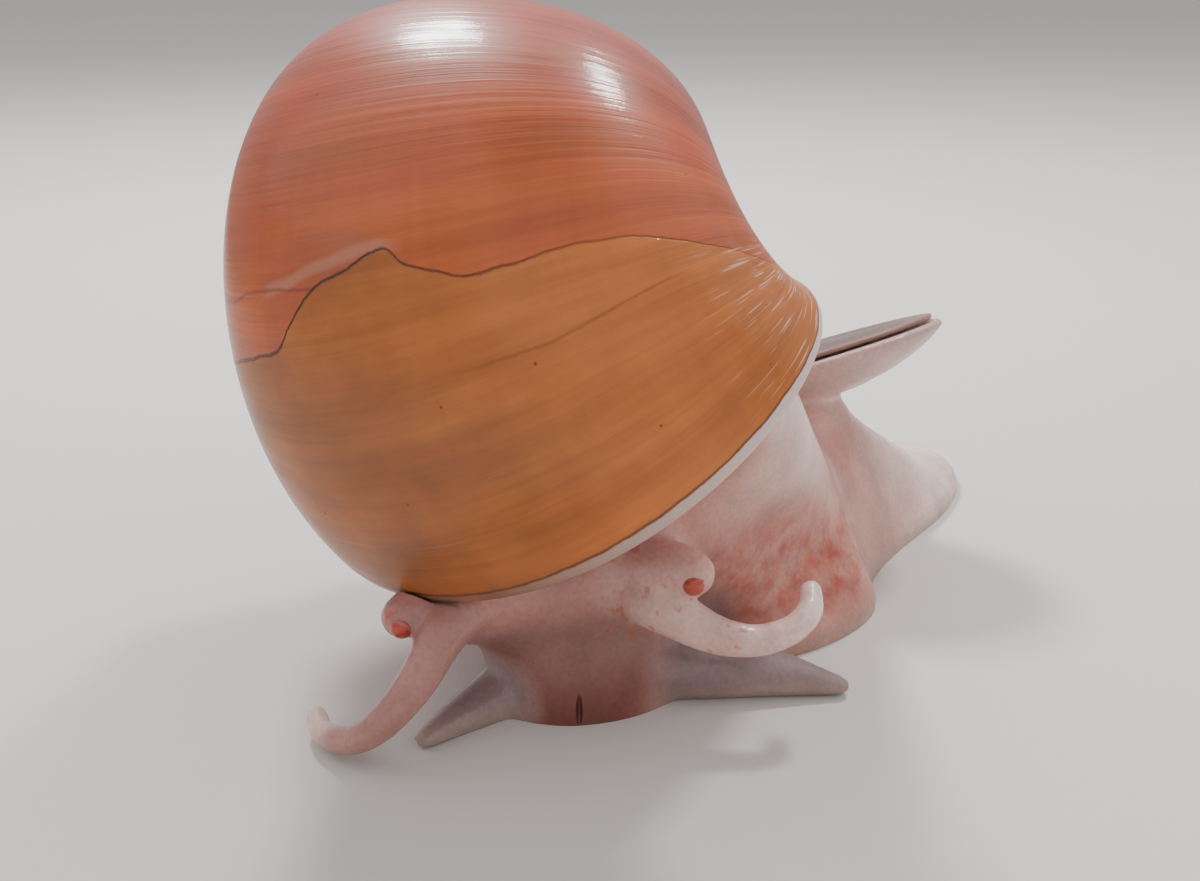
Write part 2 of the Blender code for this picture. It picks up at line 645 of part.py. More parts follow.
def main():
    clear_scene()
    parts = new_collection("apple_snail")
    blobs = new_collection("blobs")
    cutters = new_collection("cutters")
    scratch = new_collection("scratch")
    shell_surface = surface("shell", (0.72, 0.27, 0.09), 0.3)
    flesh_surface = surface("flesh", (0.72, 0.50, 0.44), 0.45)
    eye_surface = surface("eye", (0.80, 0.16, 0.08), 0.25)
    horn_surface = surface("horn", (0.20, 0.09, 0.05), 0.5)
    make_shell(parts, cutters, shell_surface)
    make_mantle(parts, cutters, flesh_surface)
    body_blobs(blobs)
    melt(blobs, BODY_VOXEL, BODY_SMOOTHING)
    fine_blobs(blobs)
    foot = melt(blobs, VOXEL, SMOOTHING)
    flat_sole(foot)
    clear_of_shell(cutters, scratch)
    combine(foot, cutters, "DIFFERENCE")
    blobs.objects.unlink(foot)
    parts.objects.link(foot)
    foot.name = "foot"
    pieces = divide(foot, parts, cutters)
    ball("mouth_slit", MOUTH, MOUTH_RADII, cutters)
    combine(pieces["snout"], cutters, "DIFFERENCE")
    for side, centre in (("right", EYE_RIGHT), ("left", EYE_LEFT)):
        eye = ball("eye_" + side, centre, (EYE_RADIUS,) * 3, parts, cuts=2)
        finish(eye, eye_surface, 40)
        ball("socket", centre, (EYE_RADIUS + GAP,) * 3, cutters, cuts=2)
        combine(pieces["eyestalk_" + side], cutters, "DIFFERENCE")
    thin = pieces["neck"].modifiers.new("thin", "DECIMATE")
    thin.ratio = NECK_SHARE
    apply_modifiers(pieces["neck"])
    for piece in pieces.values():
        keep_largest(piece)
        finish(piece, flesh_surface, 40)
    make_operculum(parts, horn_surface)
    for piece in parts.objects:
        piece.location = FOOTPRINT_SHIFT * MM
    for collection in (blobs, cutters, scratch):
        bpy.data.collections.remove(collection)


main()
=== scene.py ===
"""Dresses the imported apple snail: a glossy coiled shell, one skin over all the flesh, eyes and a horny plate.

The file is laid out as an add-on. Run as a script, it registers itself and runs each of its operators once.
Sizes that belong to the snail's form are in millimetres, in a frame whose origin lies under the snail's
head, and MM and FOOTPRINT_SHIFT carry them to the model's own frame in metres.
"""

import json
import math

import bmesh
import bpy
import numpy as np
from bpy.props import FloatProperty, FloatVectorProperty, IntProperty, PointerProperty
from mathutils import Euler, Matrix, Vector

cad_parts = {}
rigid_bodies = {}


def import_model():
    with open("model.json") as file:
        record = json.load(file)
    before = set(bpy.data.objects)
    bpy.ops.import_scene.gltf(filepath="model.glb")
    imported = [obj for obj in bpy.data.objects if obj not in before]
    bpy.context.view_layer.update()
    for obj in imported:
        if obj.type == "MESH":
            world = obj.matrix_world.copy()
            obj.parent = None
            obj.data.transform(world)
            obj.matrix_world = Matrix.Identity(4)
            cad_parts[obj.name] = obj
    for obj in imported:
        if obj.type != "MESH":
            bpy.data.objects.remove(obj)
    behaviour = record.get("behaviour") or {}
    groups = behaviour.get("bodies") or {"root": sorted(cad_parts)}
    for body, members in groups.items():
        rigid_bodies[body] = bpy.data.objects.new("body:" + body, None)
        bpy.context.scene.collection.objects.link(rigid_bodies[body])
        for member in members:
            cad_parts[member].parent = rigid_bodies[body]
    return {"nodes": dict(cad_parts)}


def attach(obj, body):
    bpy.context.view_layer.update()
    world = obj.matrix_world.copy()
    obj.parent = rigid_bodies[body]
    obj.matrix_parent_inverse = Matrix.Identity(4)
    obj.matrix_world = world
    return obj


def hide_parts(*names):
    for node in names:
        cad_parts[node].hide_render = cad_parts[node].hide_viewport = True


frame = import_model()

bl_info = {
    "name": "Apple snail",
    "version": (1, 0, 0),
    "blender": (4, 5, 0),
    "location": "View3D > Sidebar > Snail",
    "description": "Builds a life-size apple snail that crawls with its head lowered to the floor",
    "category": "Object",
}

MM = 0.001
GAP = 0.3  # clearance between the flesh and the shell
FOOTPRINT_SHIFT = Vector((0.0, -6.7, 0.0))

# The shell: a ring is carried round the coiling axis, turning, shrinking and climbing to the apex.
LIP_RADIUS = 17.0  # from the coiling axis to the middle of the mouth
LIP_DROP = 37.9  # from the apex down the axis to the middle of the mouth
LIP_TILT = math.radians(-22.4)
LIP_EGG = 0.10  # how much narrower the mouth is at its far end
LIP_SLANT_LONG = -0.17  # how far growth lines lean along the mouth, in radians of turn
LIP_SLANT_WIDE = -0.16
SHELL_TURN_XYZ = tuple(math.radians(a) for a in (100.8, 32.2, -112.0))
SHELL_PIVOT = Vector((-12.5, -2.2, 35.6))  # a point on the axis, in the snail's frame
PIVOT_DROP = 29.7  # how far below the apex that point lies
CAVITY_TURN = 1.15  # radians of whorl that are open behind the lip
# The lip's rounded edge, as (share of the wall in from the outline, half walls forward of the mouth).
LIP_ROUNDING = ((0.12, 0.25), (0.38, 0.8), (0.66, 0.8), (0.9, 0.25), (1.0, -0.35))
# Stretches of whorl that the skin is cut clear of, in radians of growth: the last whorl's outside, the
# hollow that stays open within it, and the next whorl in, which stands behind the neck.
RIND_TURNS = (-4.0, 0.02)
HOLLOW_TURNS = (-CAVITY_TURN - 0.05, 0.1)
INNER_WHORL_TURNS = (-2 * math.pi - 2.8, -2 * math.pi + 2.6)

# The healed break across the last whorl, as (degrees round the whorl, radians of growth before the lip).
BREAK_LINE = (
    (62.0, -0.77),
    (52.0, -0.795),
    (44.5, -0.81),
    (39.0, -0.875),
    (31.5, -0.955),
    (23.0, -0.99),
    (14.0, -1.025),
    (9.0, -0.97),
    (2.5, -0.93),
    (-5.0, -0.895),
    (-11.0, -0.895),
    (-21.0, -0.9),
    (-33.5, -0.89),
    (-42.5, -0.855),
    (-52.5, -0.8),
    (-66.0, -0.71),
    (-82.0, -0.57),
)
# Beside the break, in the same terms: the edge of a mended lobe, a pale scar on it, and two fainter lines.
LOBE_LINE = (
    (50.0, -0.97),
    (44.0, -1.02),
    (38.0, -1.09),
    (30.5, -1.12),
    (21.5, -1.11),
    (15.5, -1.065),
    (10.0, -1.0),
)
SCAR_LINE = (
    (50.0, -0.955),
    (44.5, -0.97),
    (37.0, -0.99),
    (31.0, -1.01),
    (25.5, -1.02),
    (16.0, -1.04),
    (12.0, -1.03),
)
FAINT_LINE = ((66.0, -0.93), (62.5, -0.935), (54.0, -0.965), (42.0, -0.97), (31.5, -0.96), (26.0, -0.955))
SECOND_LINE = ((0.0, -0.66), (-4.0, -0.66), (-15.0, -0.655), (-24.0, -0.665), (-38.0, -0.69), (-46.0, -0.7))
AROUND_MM = 19.0  # one unit of the around coordinates at the mouth
ALONG_MM = 31.0  # one radian of growth at the mouth, on the outer side of the whorl

# The foot: stations along its middle line, as (distance, half width, height of the back).
FOOT_FRONT = Vector((-2.6, -4.2, 0.0))
FOOT_AHEAD = Vector((0.6, 0.8, 0.0))  # the way the stations run, from the head to the tail
FOOT_ASIDE = Vector((FOOT_AHEAD.y, -FOOT_AHEAD.x, 0.0))  # towards the snail's left
FOOT_STATIONS = (
    (-2.0, 8.0, 2.2),
    (0.0, 12.0, 4.6),
    (4.0, 14.8, 9.0),
    (9.0, 16.6, 13.0),
    (14.5, 17.2, 15.9),
    (18.6, 16.4, 17.0),
    (20.4, 14.6, 17.2),
    (26.0, 12.9, 17.8),
    (32.0, 12.2, 15.6),
    (38.0, 12.0, 11.8),
    (44.0, 11.8, 8.4),
    (50.0, 10.8, 5.2),
    (55.0, 9.0, 3.4),
    (59.0, 6.0, 2.4),
    (61.0, 2.4, 1.9),
)
FOOT_EDGE = 1.5  # thickness of the sole's margin
FOOT_RIDGE = 0.3  # where the back is highest, as a share of the half width towards the snail's left
FOOT_BREADTH = 2.0  # larger for a broader back
FOOT_FLARE = 1.25  # larger for a thinner, more flared margin
FOOT_DEPTH = 1.5  # how far the foot is drawn below the floor, before its sole is cut flat

# Limbs: stations along each one's middle line, as (x, y, z, radius).
TENTACLE_RIGHT = (
    (-16.5, -19.5, 11.4, 2.8),
    (-19.2, -24.4, 10.6, 2.1),
    (-21.6, -28.0, 7.4, 1.7),
    (-24.4, -29.4, 4.4, 1.45),
    (-27.2, -28.4, 2.3, 1.25),
    (-29.8, -25.9, 1.5, 1.1),
    (-30.9, -23.4, 1.7, 1.0),
)
TENTACLE_LEFT = (
    (-4.5, -18.5, 12.0, 3.0),
    (-1.0, -21.4, 11.0, 2.3),
    (3.0, -22.6, 9.2, 1.75),
    (6.4, -22.8, 8.6, 1.45),
    (9.4, -22.4, 9.2, 1.3),
    (11.4, -20.9, 10.3, 1.2),
    (11.8, -18.6, 11.2, 1.1),
)
EYESTALK_RIGHT = ((-17.6, -18.5, 11.6, 2.8), (-21.4, -22.0, 11.7, 2.2), (-23.0, -23.6, 11.3, 1.9))
EYESTALK_LEFT = ((-4.4, -18.2, 13.4, 2.8), (-0.6, -20.8, 14.6, 2.3), (1.3, -21.8, 14.4, 2.0))
PALP_RIGHT = ((-10, -14.5, 1.6, 4.2), (-15, -18.5, 1.3, 3), (-19, -22.8, 1.0, 1.8), (-21.4, -25.8, 0.8, 1.0))
PALP_LEFT = ((-4, -14.5, 3.0, 4.8), (2.5, -15.0, 2.6, 4.3), (9.0, -15.7, 1.7, 2.7), (15.4, -16.8, 0.9, 1.0))
BROW = ((-19, -19.5, 9.8, 3.4), (-14, -18.3, 11.2, 4.6), (-6, -17.6, 12.2, 4.6), (-2, -18.6, 12.6, 3.2))
SNOUT = ((-8.0, -12.5, 10, 9.0), (-7.4, -13.8, 5, 9.8), (-7.2, -14.2, 0.5, 10.4))
NECK_MIDDLE = ((-14, -17, 36, 8.0), (-9, -15, 27.5, 8.8), (-3, -7, 15.5, 10.5), (4, 2, 6, 11.0))
NECK_HEADWARD = ((-23, -16, 28, 6.0), (-18, -14.8, 20.5, 6.5), (-13, -13.5, 12, 8.0), (-9, -10, 7, 7.5))
NECK_TAILWARD = (
    (-3, -19, 38, 6.5),
    (0.5, -17, 31.5, 7.0),
    (3.4, -9.5, 24.5, 8.0),
    (6.0, -1.0, 16, 9.0),
    (9.0, 6.5, 8, 9.5),
)
SIPHON = ((-2.5, -17, 30, 3.6), (1.2, -22.0, 28.8, 3.0), (3.4, -25.6, 28.2, 2.5))
NUCHAL_LOBE_RIGHT = ((-18, -16, 20, 3.6), (-22.4, -18.6, 19.0, 2.6), (-24.4, -20.0, 18.4, 1.9))
LOBE_ROOT = ((15, 19.5, 6, 7.0), (14.5, 19.0, 9, 7.2), (14, 19, 12, 7.8))
PALP_FLATNESS = 0.8
SNOUT_FLATNESS = 0.75
SIPHON_FLATNESS = 0.65
HEAD_CENTRE = (-10.5, -13.5, 9.5)
HEAD_RADII = (10.0, 8.5, 6.5)
HEAD_TURN = (0, -8, 0)
MOUTH = (-8.3, -22.6, 1.6)  # the slit between the palps
MOUTH_RADII = (0.35, 0.9, 1.7)
MANTLE_THICK = 2.8  # of the collar that lines the shell's mouth
MANTLE_TURNS = (-0.62, -0.12)  # radians of whorl behind the lip
PLUG_TURN = -0.5  # where the flesh that fills the shell behind the collar ends

# The operculum: a horny oval plate on a pad of flesh over the tail.
OPERCULUM_CENTRE = Vector((14.2, 20.4, 20.2))
OPERCULUM_UP = Vector((-0.285, 0.247, 0.926)).normalized()
OPERCULUM_LONG = Vector((0.958, 0.098, 0.269)).cross(OPERCULUM_UP).cross(-OPERCULUM_UP).normalized()
OPERCULUM_WIDE = OPERCULUM_UP.cross(OPERCULUM_LONG)
OPERCULUM_HALF_LENGTH = 17.5
OPERCULUM_HALF_WIDTH = 12.5
OPERCULUM_THICK = 0.7
OPERCULUM_RISE = 0.25  # how far the plate's middle stands over its edge
OPERCULUM_WAVE = 0.03  # how high its rings stand
OPERCULUM_WAVES = 40  # radians of wave from its middle to its edge
OPERCULUM_LINES = 28  # fine growth lines from its middle to its edge
PAD_PROFILE = ((4.6, 0.42), (3.7, 0.64), (2.5, 0.82), (1.3, 0.94), (0.5, 1.0), (0.0, 0.98))  # depth and share
PAD_RIM = 1.2  # how far the plate stands in from the pad's edge

EYES = {"eye_right": Vector((-23.0, -25.0, 10.9)), "eye_left": Vector((1.3, -23.3, 14.0))}
EYE_STALKS = {"eye_right": Vector((-22.6, -23.2, 11.4)), "eye_left": Vector((1.0, -21.6, 14.4))}
EYE_RADIUS = 0.95
EYE_DEPTH = 0.75  # how far the eye swells out of its stalk, as a share of its radius

# How finely the forms are drawn, as points round a ring, spans between stations and steps of growth. All
# but the shell and the plate are melted or cut afterwards.
BODY_SIDES = 28
LIMB_SIDES = 20
LIMB_SPANS = 6
FOOT_SPANS = 4
FOOT_ROWS = 32
COLLAR_SIDES = 48
COLLAR_STEPS = 6
PAD_SIDES = 64
PLATE_SIDES = 96
CUT_SIDES = 72
CUT_STEP = math.radians(5)
INNER_CUT_SIDES = 64
INNER_CUT_STEP = math.radians(6)
LIMB_END = (0.35, 0.6, 0.8, 0.95)  # the round end of a limb, as shares of its radius
CREASE = math.radians(55)  # the skin's folds stay sharp past this angle

# The skin's markings and its painted shade, which its material reads as attributes.
MARKINGS = ("pale", "cool_and_shade", "snout", "mottled", "margin", "tail", "spots")
# Marks round limbs, as (stations, amount, where it is full, where it ends), the last two in radii.
PALE_LIMBS = (
    (BROW, 0.1, 1.0, 2.3),
    (TENTACLE_LEFT[1:4], 0.45, 1.0, 2.3),
    (TENTACLE_LEFT[3:5], 0.6, 1.0, 2.3),
    (TENTACLE_LEFT[4:6], 0.75, 1.0, 2.3),
    (TENTACLE_LEFT[5:], 0.95, 1.0, 2.3),
    (EYESTALK_LEFT, 0.3, 1.0, 2.3),
    (NUCHAL_LOBE_RIGHT, 0.3, 1.0, 2.3),
    (SIPHON, 0.3, 1.0, 2.3),
)
# Thin blue-grey flesh on the palps. The same tone on the snail's right tentacle and eyestalk is painted shade,
# where the head and shell shade them.
COOL_AND_SHADED_LIMBS = (
    (PALP_RIGHT[1:], 1.0, 1.0, 1.9),
    (PALP_LEFT[1:], 1.0, 1.0, 1.9),
    (TENTACLE_RIGHT[1:], 0.4, 1.0, 2.0),
    (EYESTALK_RIGHT, 0.4, 1.0, 2.0),
)
DARK_LIMBS = ((SNOUT, 1.0, 1.0, 1.7),)
SPOTTED_LIMBS = ((TENTACLE_LEFT[:4], 0.6, 1.2, 2.2),)
# Marks round points, as (places, amount, where it is full, where it ends), the last two in mm.
PALE_TIP = ([TENTACLE_RIGHT[-1][:3]], 0.7, 2.0, 6.0)
EYE_SPOTS = (list(EYES.values()), 1.0, 1.1, 2.4)
# Regions, as (amount, windows), with each window as (measure, where it is full, where it ends) in mm along
# the foot from its front, aside of its middle line towards the snail's left, or above the floor.
REGIONS = {
    "snout": (1.0, (("aside", 8.5, 12.5), ("height", 8, 13.5))),
    "front": (
        1.0,
        (("along", -6, -14), ("along", 16, 30), ("aside", 9, 5), ("height", 8, 18), ("height", 4.5, 2)),
    ),
    # The pad's underside, beneath the operculum, is greyed with the blue-grey tone as painted shade.
    "lobe": (0.4, (("height", 20, 17), ("along", 14, 10))),
    "margin": (1.0, (("height", 0.8, 2.6),)),
    "tail": (1.0, (("along", 50, 24), ("height", 14, 19))),
    "neck": (0.5, (("height", 19, 13), ("along", -2, -8))),
}

# The camera stands where the photograph was taken from, and looks level across and 20 degrees down.
CAMERA_PLACE = Vector((-6.5, -139.2, 66.6))
CAMERA_PITCH = math.radians(70.0)
CAMERA_LENS = 43.5
CAMERA_SENSOR = 36.0

# The studio, in metres: area lights as (name, place, size, setting with its power, share of that power).
LIGHTS = (
    ("key_left", (-0.103, 0.242, 0.347), 0.08, "key_power", 1.0),
    ("key_right", (0.118, 0.185, 0.37), 0.05, "key_power", 0.5),
    ("side_left", (-0.55, -0.05, 0.65), 0.8, "fill_power", 0.7),
    ("side_right", (0.55, 0.0, 0.6), 0.8, "fill_power", 0.7),
    ("front", (0.2, -1.0, 0.6), 1.6, "fill_power", 1.8),
)
LIGHTS_AIM = Vector((0, 0, 0.03))
SKY = (0.97, 0.97, 1.0, 1.0)
SKY_STRENGTH = 0.55
FLOOR_HALF_WIDTH = 3.0

# Sockets of a Mix node set to colour, and its result.
FACTOR, FIRST, SECOND, RESULT = 0, 6, 7, 2


def linear(hex_colour):
    """A colour written as #rrggbb in sRGB, as linear red, green, blue and full opacity."""
    parts = [int(hex_colour[i : i + 2], 16) / 255 for i in (1, 3, 5)]
    return (*[c / 12.92 if c <= 0.04045 else ((c + 0.055) / 1.055) ** 2.4 for c in parts], 1.0)


def to_metres():
    """Carries a mesh drawn in millimetres in the snail's frame to its place in the model."""
    return Matrix.Scale(MM, 4) @ Matrix.Translation(FOOTPRINT_SHIFT)


def new_piece(name, bm, collection=None):
    """Makes an object of the bmesh, at the origin and unturned."""
    mesh = bpy.data.meshes.new(name)
    bm.to_mesh(mesh)
    bm.free()
    obj = bpy.data.objects.new(name, mesh)
    (collection or bpy.context.scene.collection).objects.link(obj)
    return obj


def apply_modifiers(obj):
    """Makes an object's mesh what its modifiers give, and drops them."""
    graph = bpy.context.evaluated_depsgraph_get()
    made = bpy.data.meshes.new_from_object(obj.evaluated_get(graph))
    obj.modifiers.clear()
    obj.data = made


def colour_property(label, hex_colour):
    """A colour that the panel shows as a swatch."""
    default = linear(hex_colour)
    return FloatVectorProperty(
        name=label, description=label, default=default, size=4, min=0.0, max=1.0, subtype="COLOR"
    )


def length_property(label, description, metres):
    """A length that the panel shows in the scene's units."""
    return FloatProperty(
        name=label,
        description=description,
        default=metres,
        min=0.0,
        precision=5,
        subtype="DISTANCE",
        unit="LENGTH",
    )


def power_property(label, description, watts):
    """The power of a light."""
    return FloatProperty(name=label, description=description, default=watts, unit="POWER")


def count_property(label, description, count, low, high):
    """A whole number with its limits."""
    return IntProperty(name=label, description=description, default=count, min=low, max=high)


class SnailShellSettings(bpy.types.PropertyGroup):
    whorl_ratio: FloatProperty(
        name="Whorl ratio",
        description="How much larger the shell grows over one turn",
        default=1.96,
        min=1.2,
        max=4.0,
    )
    half_length: length_property("Mouth half length", "Half the length of the shell's mouth", 0.0238)
    half_width: length_property("Mouth half width", "Half the width of the shell's mouth", 0.0142)
    wall: length_property("Wall", "Thickness of the shell at its lip", 0.0012)
    turns: FloatProperty(name="Turns", description="Whorls from lip to apex", default=4.4, min=1.0, max=6.0)
    step: FloatProperty(
        name="Ring step", description="Angle between growth rings", default=math.radians(6.0), subtype="ANGLE"
    )
    sides: count_property("Sides", "Points round each growth ring", 64, 24, 128)
    old: colour_property("Older shell", "#bf602e")
    rose: colour_property("Rose tone of the older shell", "#ad452b")
    fresh: colour_property("Newer shell", "#98582e")
    honey: colour_property("Honey tone of the newer shell", "#c8702f")
    lip: colour_property("Lip", "#e2cdc6")


class SnailSkinSettings(bpy.types.PropertyGroup):
    body_voxel: length_property("Grain of the body", "Size of the voxels that melt its broad forms", 0.0008)
    body_smoothing: count_property("Body smoothing", "Rounds that let the body flow", 25, 0, 100)
    voxel: length_property("Grain of the mesh", "Size of the voxels that melt the soft forms", 0.00042)
    smoothing: count_property("Smoothing", "Rounds of smoothing after the melt", 8, 0, 100)
    flesh: colour_property("Flesh", "#c48172")
    pale: colour_property("Pale flesh", "#f6dcd2")
    blush: colour_property("Orange-red mottling", "#a83a24")
    # Also laid on the right tentacle, its eyestalk and the pad under the operculum as painted shade.
    cool_and_shade: colour_property("Thin blue-grey flesh", "#757072")
    snout: colour_property("Snout", "#703a30")


class SnailEyeSettings(bpy.types.PropertyGroup):
    radius: length_property("Radius", "Radius of the eye", EYE_RADIUS * MM)
    iris: colour_property("Eye", "#b23c2c")
    rim: colour_property("Rim of the eye", "#b0685a")


class SnailOperculumSettings(bpy.types.PropertyGroup):
    rings: count_property("Rings", "Growth rings across the plate", 26, 6, 60)
    horn: colour_property("Horn", "#553123")
    edge: colour_property("Edge of the horn", "#8a6450")


class SnailStageSettings(bpy.types.PropertyGroup):
    floor: colour_property("Floor", "#d9d5d0")
    key_power: power_property("Key light", "Power of the main light", 1.6)
    fill_power: power_property("Fill light", "Power of the fill light", 1.8)


def shell_matrix():
    """Carries the shell's own frame, with its apex at the origin and its axis down -Z, to the snail's."""
    return (
        Matrix.Translation(SHELL_PIVOT)
        @ Euler(SHELL_TURN_XYZ).to_matrix().to_4x4()
        @ Matrix.Translation((0, 0, PIVOT_DROP))
    )


def growth_matrix(turn):
    """Carries the shell's lip to where it was `turn` radians of growth from now. The apex stays in place."""
    ratio = bpy.context.scene.snail_shell.whorl_ratio
    place = shell_matrix()
    smaller = Matrix.Scale(math.exp(math.log(ratio) / (2 * math.pi) * turn), 4)
    return place @ Matrix.Rotation(-turn, 4, "Z") @ smaller @ place.inverted()


def lip_point(angle, inset, forward=0.0):
    """A point on the shell's mouth, `inset` mm in from its outline and `forward` mm out of the mouth."""
    settings = bpy.context.scene.snail_shell
    long, wide = math.sin(angle), math.cos(angle) * (1 - LIP_EGG * math.sin(angle))
    x = (settings.half_width / MM - inset) * wide
    y = (settings.half_length / MM - inset) * long
    radius = LIP_RADIUS + x * math.cos(LIP_TILT) - y * math.sin(LIP_TILT)
    rise = -LIP_DROP + x * math.sin(LIP_TILT) + y * math.cos(LIP_TILT)
    turn = LIP_SLANT_LONG * long + LIP_SLANT_WIDE * math.cos(angle) - forward / ALONG_MM
    return shell_matrix() @ Vector((radius * math.cos(turn), radius * math.sin(turn), rise))


def lip_ring(bm, sides, inset):
    """A ring of points on the shell's mouth, each with its angle kept in the layer `around`."""
    layer = bm.verts.layers.float.get("around") or bm.verts.layers.float.new("around")
    verts = bmesh.ops.create_circle(bm, cap_ends=False, segments=sides, radius=1.0)["verts"]
    for vert in verts:
        angle = math.atan2(vert.co.y, vert.co.x)
        vert[layer] = angle
        vert.co = lip_point(angle, inset)
    return verts


def ring_edges(verts):
    """The edges that join the points of a ring, which is a set."""
    return list({edge for vert in verts for edge in vert.link_edges if all(v in verts for v in edge.verts)})


def draw_on(bm, edges, matrix=None):
    """Extrudes a ring of edges, carries the new ring on by the matrix, and returns its points and edges."""
    made = bmesh.ops.extrude_edge_only(bm, edges=edges)["geom"]
    verts = [item for item in made if isinstance(item, bmesh.types.BMVert)]
    if matrix:
        bmesh.ops.transform(bm, matrix=matrix, verts=verts)
    fresh = set(verts)
    return verts, [e for e in made if isinstance(e, bmesh.types.BMEdge) and all(v in fresh for v in e.verts)]


def close_ring(bm, edges):
    """Fills a ring with a fan of faces that meet at its middle."""
    filled = bmesh.ops.edgeloop_fill(bm, edges=edges)["faces"]
    bmesh.ops.poke(bm, faces=filled)


def whorl(bm, start, end, step, sides, inset):
    """A closed stretch of whorl between two turns in radians of growth."""
    verts = lip_ring(bm, sides, inset)
    bmesh.ops.transform(bm, matrix=growth_matrix(end), verts=verts)
    first = edges = ring_edges(set(verts))
    count = max(2, round((end - start) / step))
    back = growth_matrix((start - end) / count)
    for _ in range(count):
        verts, edges = draw_on(bm, edges, back)
    close_ring(bm, first)
    close_ring(bm, edges)


def smooth_path(points, per_span):
    """Points on a Catmull-Rom curve through the given ones. Each is a tuple of numbers of any length."""
    ends = [[2 * a - b for a, b in zip(points[0], points[1])], *points]
    ends.append([2 * a - b for a, b in zip(points[-1], points[-2])])
    found = []
    for span in zip(ends, ends[1:], ends[2:], ends[3:]):
        for step in range(per_span):
            t = step / per_span
            place = []
            for a, b, c, d in zip(*span):
                bend, twist = 2 * a - 5 * b + 4 * c - d, 3 * b - a - 3 * c + d
                place.append(0.5 * (2 * b + (c - a) * t + bend * t**2 + twist * t**3))
            found.append(place)
    found.append(list(points[-1]))
    return found


def limb_frames(stations, flatness, per_span):
    """Frames along a limb with round ends. Each carries a circle of radius 1 to a section of the limb."""
    path = smooth_path(stations, per_span)
    found = []
    for i, (x, y, z, radius) in enumerate(path):
        before, after = path[max(i - 1, 0)], path[min(i + 1, len(path) - 1)]
        ahead = (Vector(after[:3]) - Vector(before[:3])).normalized()
        thin = Vector((0, 0, 1)) - ahead * ahead.z
        thin.normalize()
        found.append((Vector((x, y, z)), ahead, ahead.cross(thin), thin, radius))
    start, end = found[0], found[-1]
    sections = [(*start, share, -math.sqrt(1 - share**2)) for share in LIMB_END]
    sections += [(*section, 1.0, 0.0) for section in found]
    sections += [(*end, share, math.sqrt(1 - share**2)) for share in LIMB_END[::-1]]
    frames = []
    for centre, ahead, wide, thin, radius, share, out in sections:
        axes = Matrix((wide * radius * share, thin * radius * share * flatness, ahead)).transposed().to_4x4()
        frames.append(Matrix.Translation(centre + ahead * radius * out * flatness) @ axes)
    return frames


def draw_through(bm, frames, sides):
    """A closed form drawn from a circle through frames, each of which carries that circle to a section."""
    circle = bmesh.ops.create_circle(bm, cap_ends=False, segments=sides, radius=1.0, matrix=frames[0])
    first = edges = ring_edges(set(circle["verts"]))
    for before, after in zip(frames, frames[1:]):
        _, edges = draw_on(bm, edges, after @ before.inverted())
    close_ring(bm, first)
    close_ring(bm, edges)


def limb(bm, stations, sides=LIMB_SIDES, flatness=1.0):
    """A tapering limb with round ends, through stations (x, y, z, radius)."""
    draw_through(bm, limb_frames(stations, flatness, LIMB_SPANS), sides)


def ball(bm, centre, radii, turn=(0.0, 0.0, 0.0), cuts=4):
    """An ellipsoid, with turn as Euler angles in degrees."""
    spin = Euler([math.radians(a) for a in turn]).to_matrix().to_4x4()
    place = Matrix.Translation(centre) @ spin @ Matrix.Diagonal((*radii, 1.0))
    bmesh.ops.create_icosphere(bm, subdivisions=cuts, radius=1.0, matrix=place)


def foot_height(share, back):
    """Height of the foot at a share of its half width to either side: a broad back, then a steeper side."""
    away = (share - FOOT_RIDGE) / (1 - math.copysign(FOOT_RIDGE, share - FOOT_RIDGE))
    return FOOT_EDGE + (back - FOOT_EDGE) * max(0.0, 1 - abs(away) ** FOOT_BREADTH) ** FOOT_FLARE


def foot(bm):
    """The foot: a grid laid out along its middle line, lifted into the back, and drawn down to the sole."""
    stations = smooth_path(FOOT_STATIONS, FOOT_SPANS)
    columns = len(stations) - 1
    verts = bmesh.ops.create_grid(bm, x_segments=columns, y_segments=FOOT_ROWS, size=1.0)["verts"]
    for vert in verts:
        distance, half_width, back = stations[round((vert.co.x + 1) / 2 * columns)]
        side = vert.co.y
        ground = FOOT_FRONT + FOOT_AHEAD * distance + FOOT_ASIDE * half_width * side
        vert.co = ground + Vector((0, 0, foot_height(side, back)))
    faces = list({face for vert in verts for face in vert.link_faces})
    drawn = bmesh.ops.extrude_face_region(bm, geom=faces, use_keep_orig=True)["geom"]
    for item in drawn:
        if isinstance(item, bmesh.types.BMVert):
            item.co.z = -FOOT_DEPTH


def pad(bm):
    """The fleshy pad under the operculum: an oval drawn through the levels of its profile."""
    frames = []
    for depth, share in PAD_PROFILE:
        long = OPERCULUM_LONG * OPERCULUM_HALF_LENGTH * share
        wide = OPERCULUM_WIDE * OPERCULUM_HALF_WIDTH * share
        axes = Matrix((long, wide, OPERCULUM_UP)).transposed().to_4x4()
        frames.append(Matrix.Translation(OPERCULUM_CENTRE - OPERCULUM_UP * depth) @ axes)
    draw_through(bm, frames, PAD_SIDES)


def collar(bm):
    """The mantle's collar: a thick ring of flesh that lines the shell behind its lip."""
    start, end = MANTLE_TURNS
    inset = bpy.context.scene.snail_shell.wall / MM + GAP
    back = growth_matrix((start - end) / COLLAR_STEPS)
    verts = lip_ring(bm, COLLAR_SIDES, inset)
    around = bm.verts.layers.float["around"]
    bmesh.ops.transform(bm, matrix=growth_matrix(end), verts=verts)
    outer = edges = ring_edges(set(verts))
    for _ in range(COLLAR_STEPS):
        verts, edges = draw_on(bm, edges, back)
    verts, edges = draw_on(bm, edges)
    for vert in verts:
        vert.co = growth_matrix(start) @ lip_point(vert[around], inset + MANTLE_THICK)
    for _ in range(COLLAR_STEPS):
        verts, edges = draw_on(bm, edges, back.inverted())
    bmesh.ops.bridge_loops(bm, edges=[*outer, *edges])


